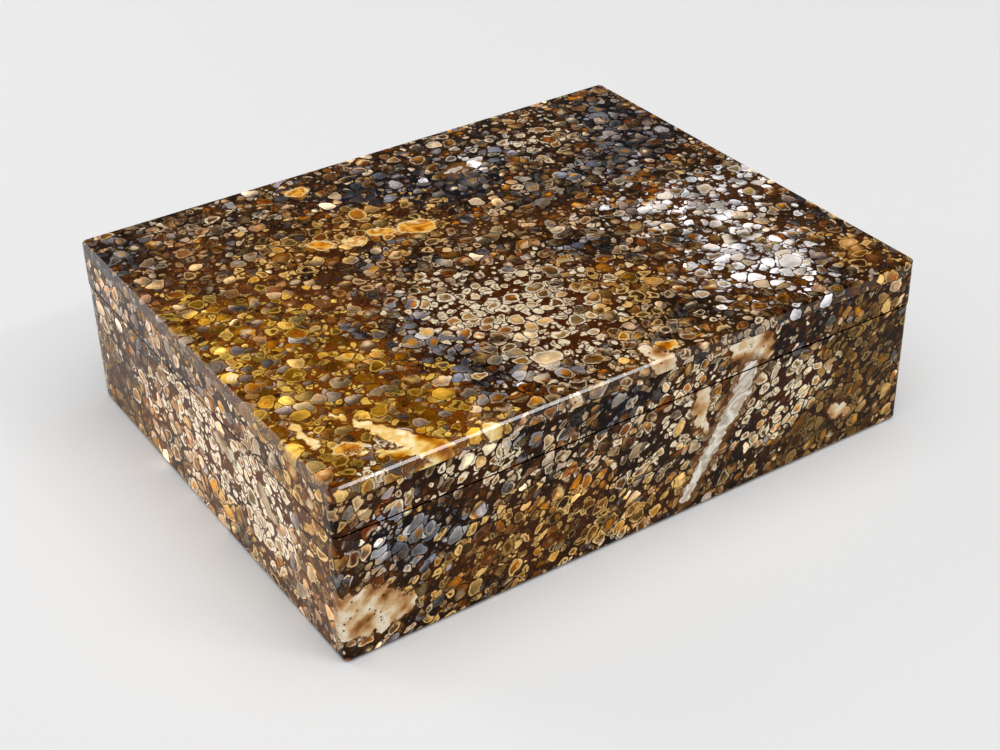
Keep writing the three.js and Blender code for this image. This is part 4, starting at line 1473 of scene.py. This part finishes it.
def walnut(name, along_x):
    """Waxed walnut with its grain along X, or along Y."""
    material, tree = new_material(name)
    place = add(tree, "TexCoord").outputs["Object"]
    turned = (0, 0, 0) if along_x else (0, 0, math.pi / 2)
    place = add(tree, "Mapping", {"Vector": place, "Rotation": turned, "Scale": (MM,) * 3},
                vector_type="TEXTURE")
    long = add(tree, "VectorMath", place, STREAK_SHAPE, operation="MULTIPLY")
    streak = add(tree, "TexNoise", {
        "Vector": long, "Scale": STREAKS_PER_MM, "Detail": 4.0, "Distortion": 0.6})
    fine = add(tree, "TexNoise", {"Vector": long, "Scale": FINE_PER_MM, "Detail": 2.0})
    wood = add(tree, "Math", fine, FINE_SHARE, streak, operation="MULTIPLY_ADD")
    colour = add(tree, "ValToRGB", wood, stops=WOOD)
    short = add(tree, "VectorMath", place, PORE_SHAPE, operation="MULTIPLY")
    pore = add(tree, "TexNoise", {"Vector": short, "Scale": 1.0, "Detail": 1.0})
    pore = add(tree, "MapRange", pore, *PORE_BORDER, 0.0, 1.0)
    colour = add(tree, "Mix", pore, colour, PORE_COLOUR, data_type="RGBA")
    wax = add(tree, "MapRange", fine, *FINE_RANGE, *WAXED)
    relief = add(tree, "Bump", {
        "Height": pore, "Strength": 0.4, "Distance": PORE_DEPTH * MM}, invert=True)
    surface = add(tree, "BsdfPrincipled", {
        "Base Color": colour, "Roughness": wax, "IOR": 1.5, "Normal": relief})
    add(tree, "OutputMaterial", surface)
    return material


WALNUT_X = walnut("waxed_walnut_grain_lengthwise", True)
WALNUT_Y = walnut("waxed_walnut_grain_crosswise", False)
print("walnut made with its grain along X and along Y")

# %% [markdown]
# ## Brass
#
# The hinge leaves are milled and brushed along their length, and the screws and pins are turned.
# Brushing leaves hair-fine scratches in one direction, which draw a highlight out into a streak.
# They are drawn 0.2 mm wide, coarser than real ones, so that they show. Bare brass also darkens in
# faint clouds where it has been handled, so the colour moves between bright and slightly tarnished.

# %% Brass finish
# Scratches per mm along X, Y and Z: few along the brushing, many across it. Then how rough they are
# and how deep in mm, and how much tarnish lies in the clouds.
ALONG_LEAF = (0.12, 6.0, 6.0)
ROUND_SCREW = (5.0, 5.0, 0.6)
SCRATCH_RANGE = (0.3, 0.7)
SCRATCHED = (0.22, 0.36)
SCRATCH_DEPTH = 0.02
CLOUDS_PER_MM = 0.25
TARNISH_BORDER = (0.45, 0.75)
TARNISH_CLEAR = 0.6


def brass(name, stretch):
    """Brushed brass; the scratches are noise drawn out along one direction."""
    material, tree = new_material(name)
    place = add(tree, "TexCoord").outputs["Object"]
    place = add(tree, "VectorMath", {0: place, "Scale": 1 / MM}, operation="SCALE")
    drawn = add(tree, "VectorMath", place, stretch, operation="MULTIPLY")
    scratch = add(tree, "TexNoise", {"Vector": drawn, "Scale": 1.0, "Detail": 2.0})
    handled = add(tree, "TexNoise", {"Vector": place, "Scale": CLOUDS_PER_MM, "Detail": 2.0})
    tarnish = add(tree, "MapRange", handled, *TARNISH_BORDER, 0.0, TARNISH_CLEAR)
    colour = add(tree, "Mix", tarnish, "#e2c684", "#b39356", data_type="RGBA")
    rough = add(tree, "MapRange", scratch, *SCRATCH_RANGE, *SCRATCHED)
    relief = add(tree, "Bump", {"Height": scratch, "Strength": 0.06, "Distance": SCRATCH_DEPTH * MM})
    surface = add(tree, "BsdfPrincipled", {
        "Base Color": colour, "Metallic": 1.0, "Roughness": rough, "Normal": relief})
    add(tree, "OutputMaterial", surface)
    return material


BRUSHED = brass("brushed_brass_leaf", ALONG_LEAF)
TURNED = brass("turned_brass_screw", ROUND_SCREW)
print("brass made, brushed and turned")

# %% [markdown]
# ## Finishes on the model's own parts
#
# The rails, panels, hinges and screws of the model already have their real shape, so they stay, and
# only get their finish. The two back slabs stay too, because they carry the housings of the hinges.

# %% Give the model's nodes their materials
FINISHES = {
    "_front_rail": WALNUT_X,
    "_back_rail": WALNUT_X,
    "_left_rail": WALNUT_Y,
    "_right_rail": WALNUT_Y,
    "_panel": WALNUT_X,
    "_leaf": BRUSHED,
    "_screw_": TURNED,
    "_pin": TURNED,
    "_back_slab": STONES["back"],
}
dressed = 0
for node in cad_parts:
    for part, finish in FINISHES.items():
        if part in node:
            model = bpy.data.objects[node]
            model.data.materials.clear()
            model.data.materials.append(finish)
            dressed += 1
print("nodes of the model with a new finish:", dressed)

# %% [markdown]
# ## Size and end
#
# The dressed box must stay the size of the model, so both boxes are printed.

# %% Finish
low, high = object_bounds()
print("dressed box in mm:", [round((b - a) / MM, 1) for a, b in zip(low, high)])
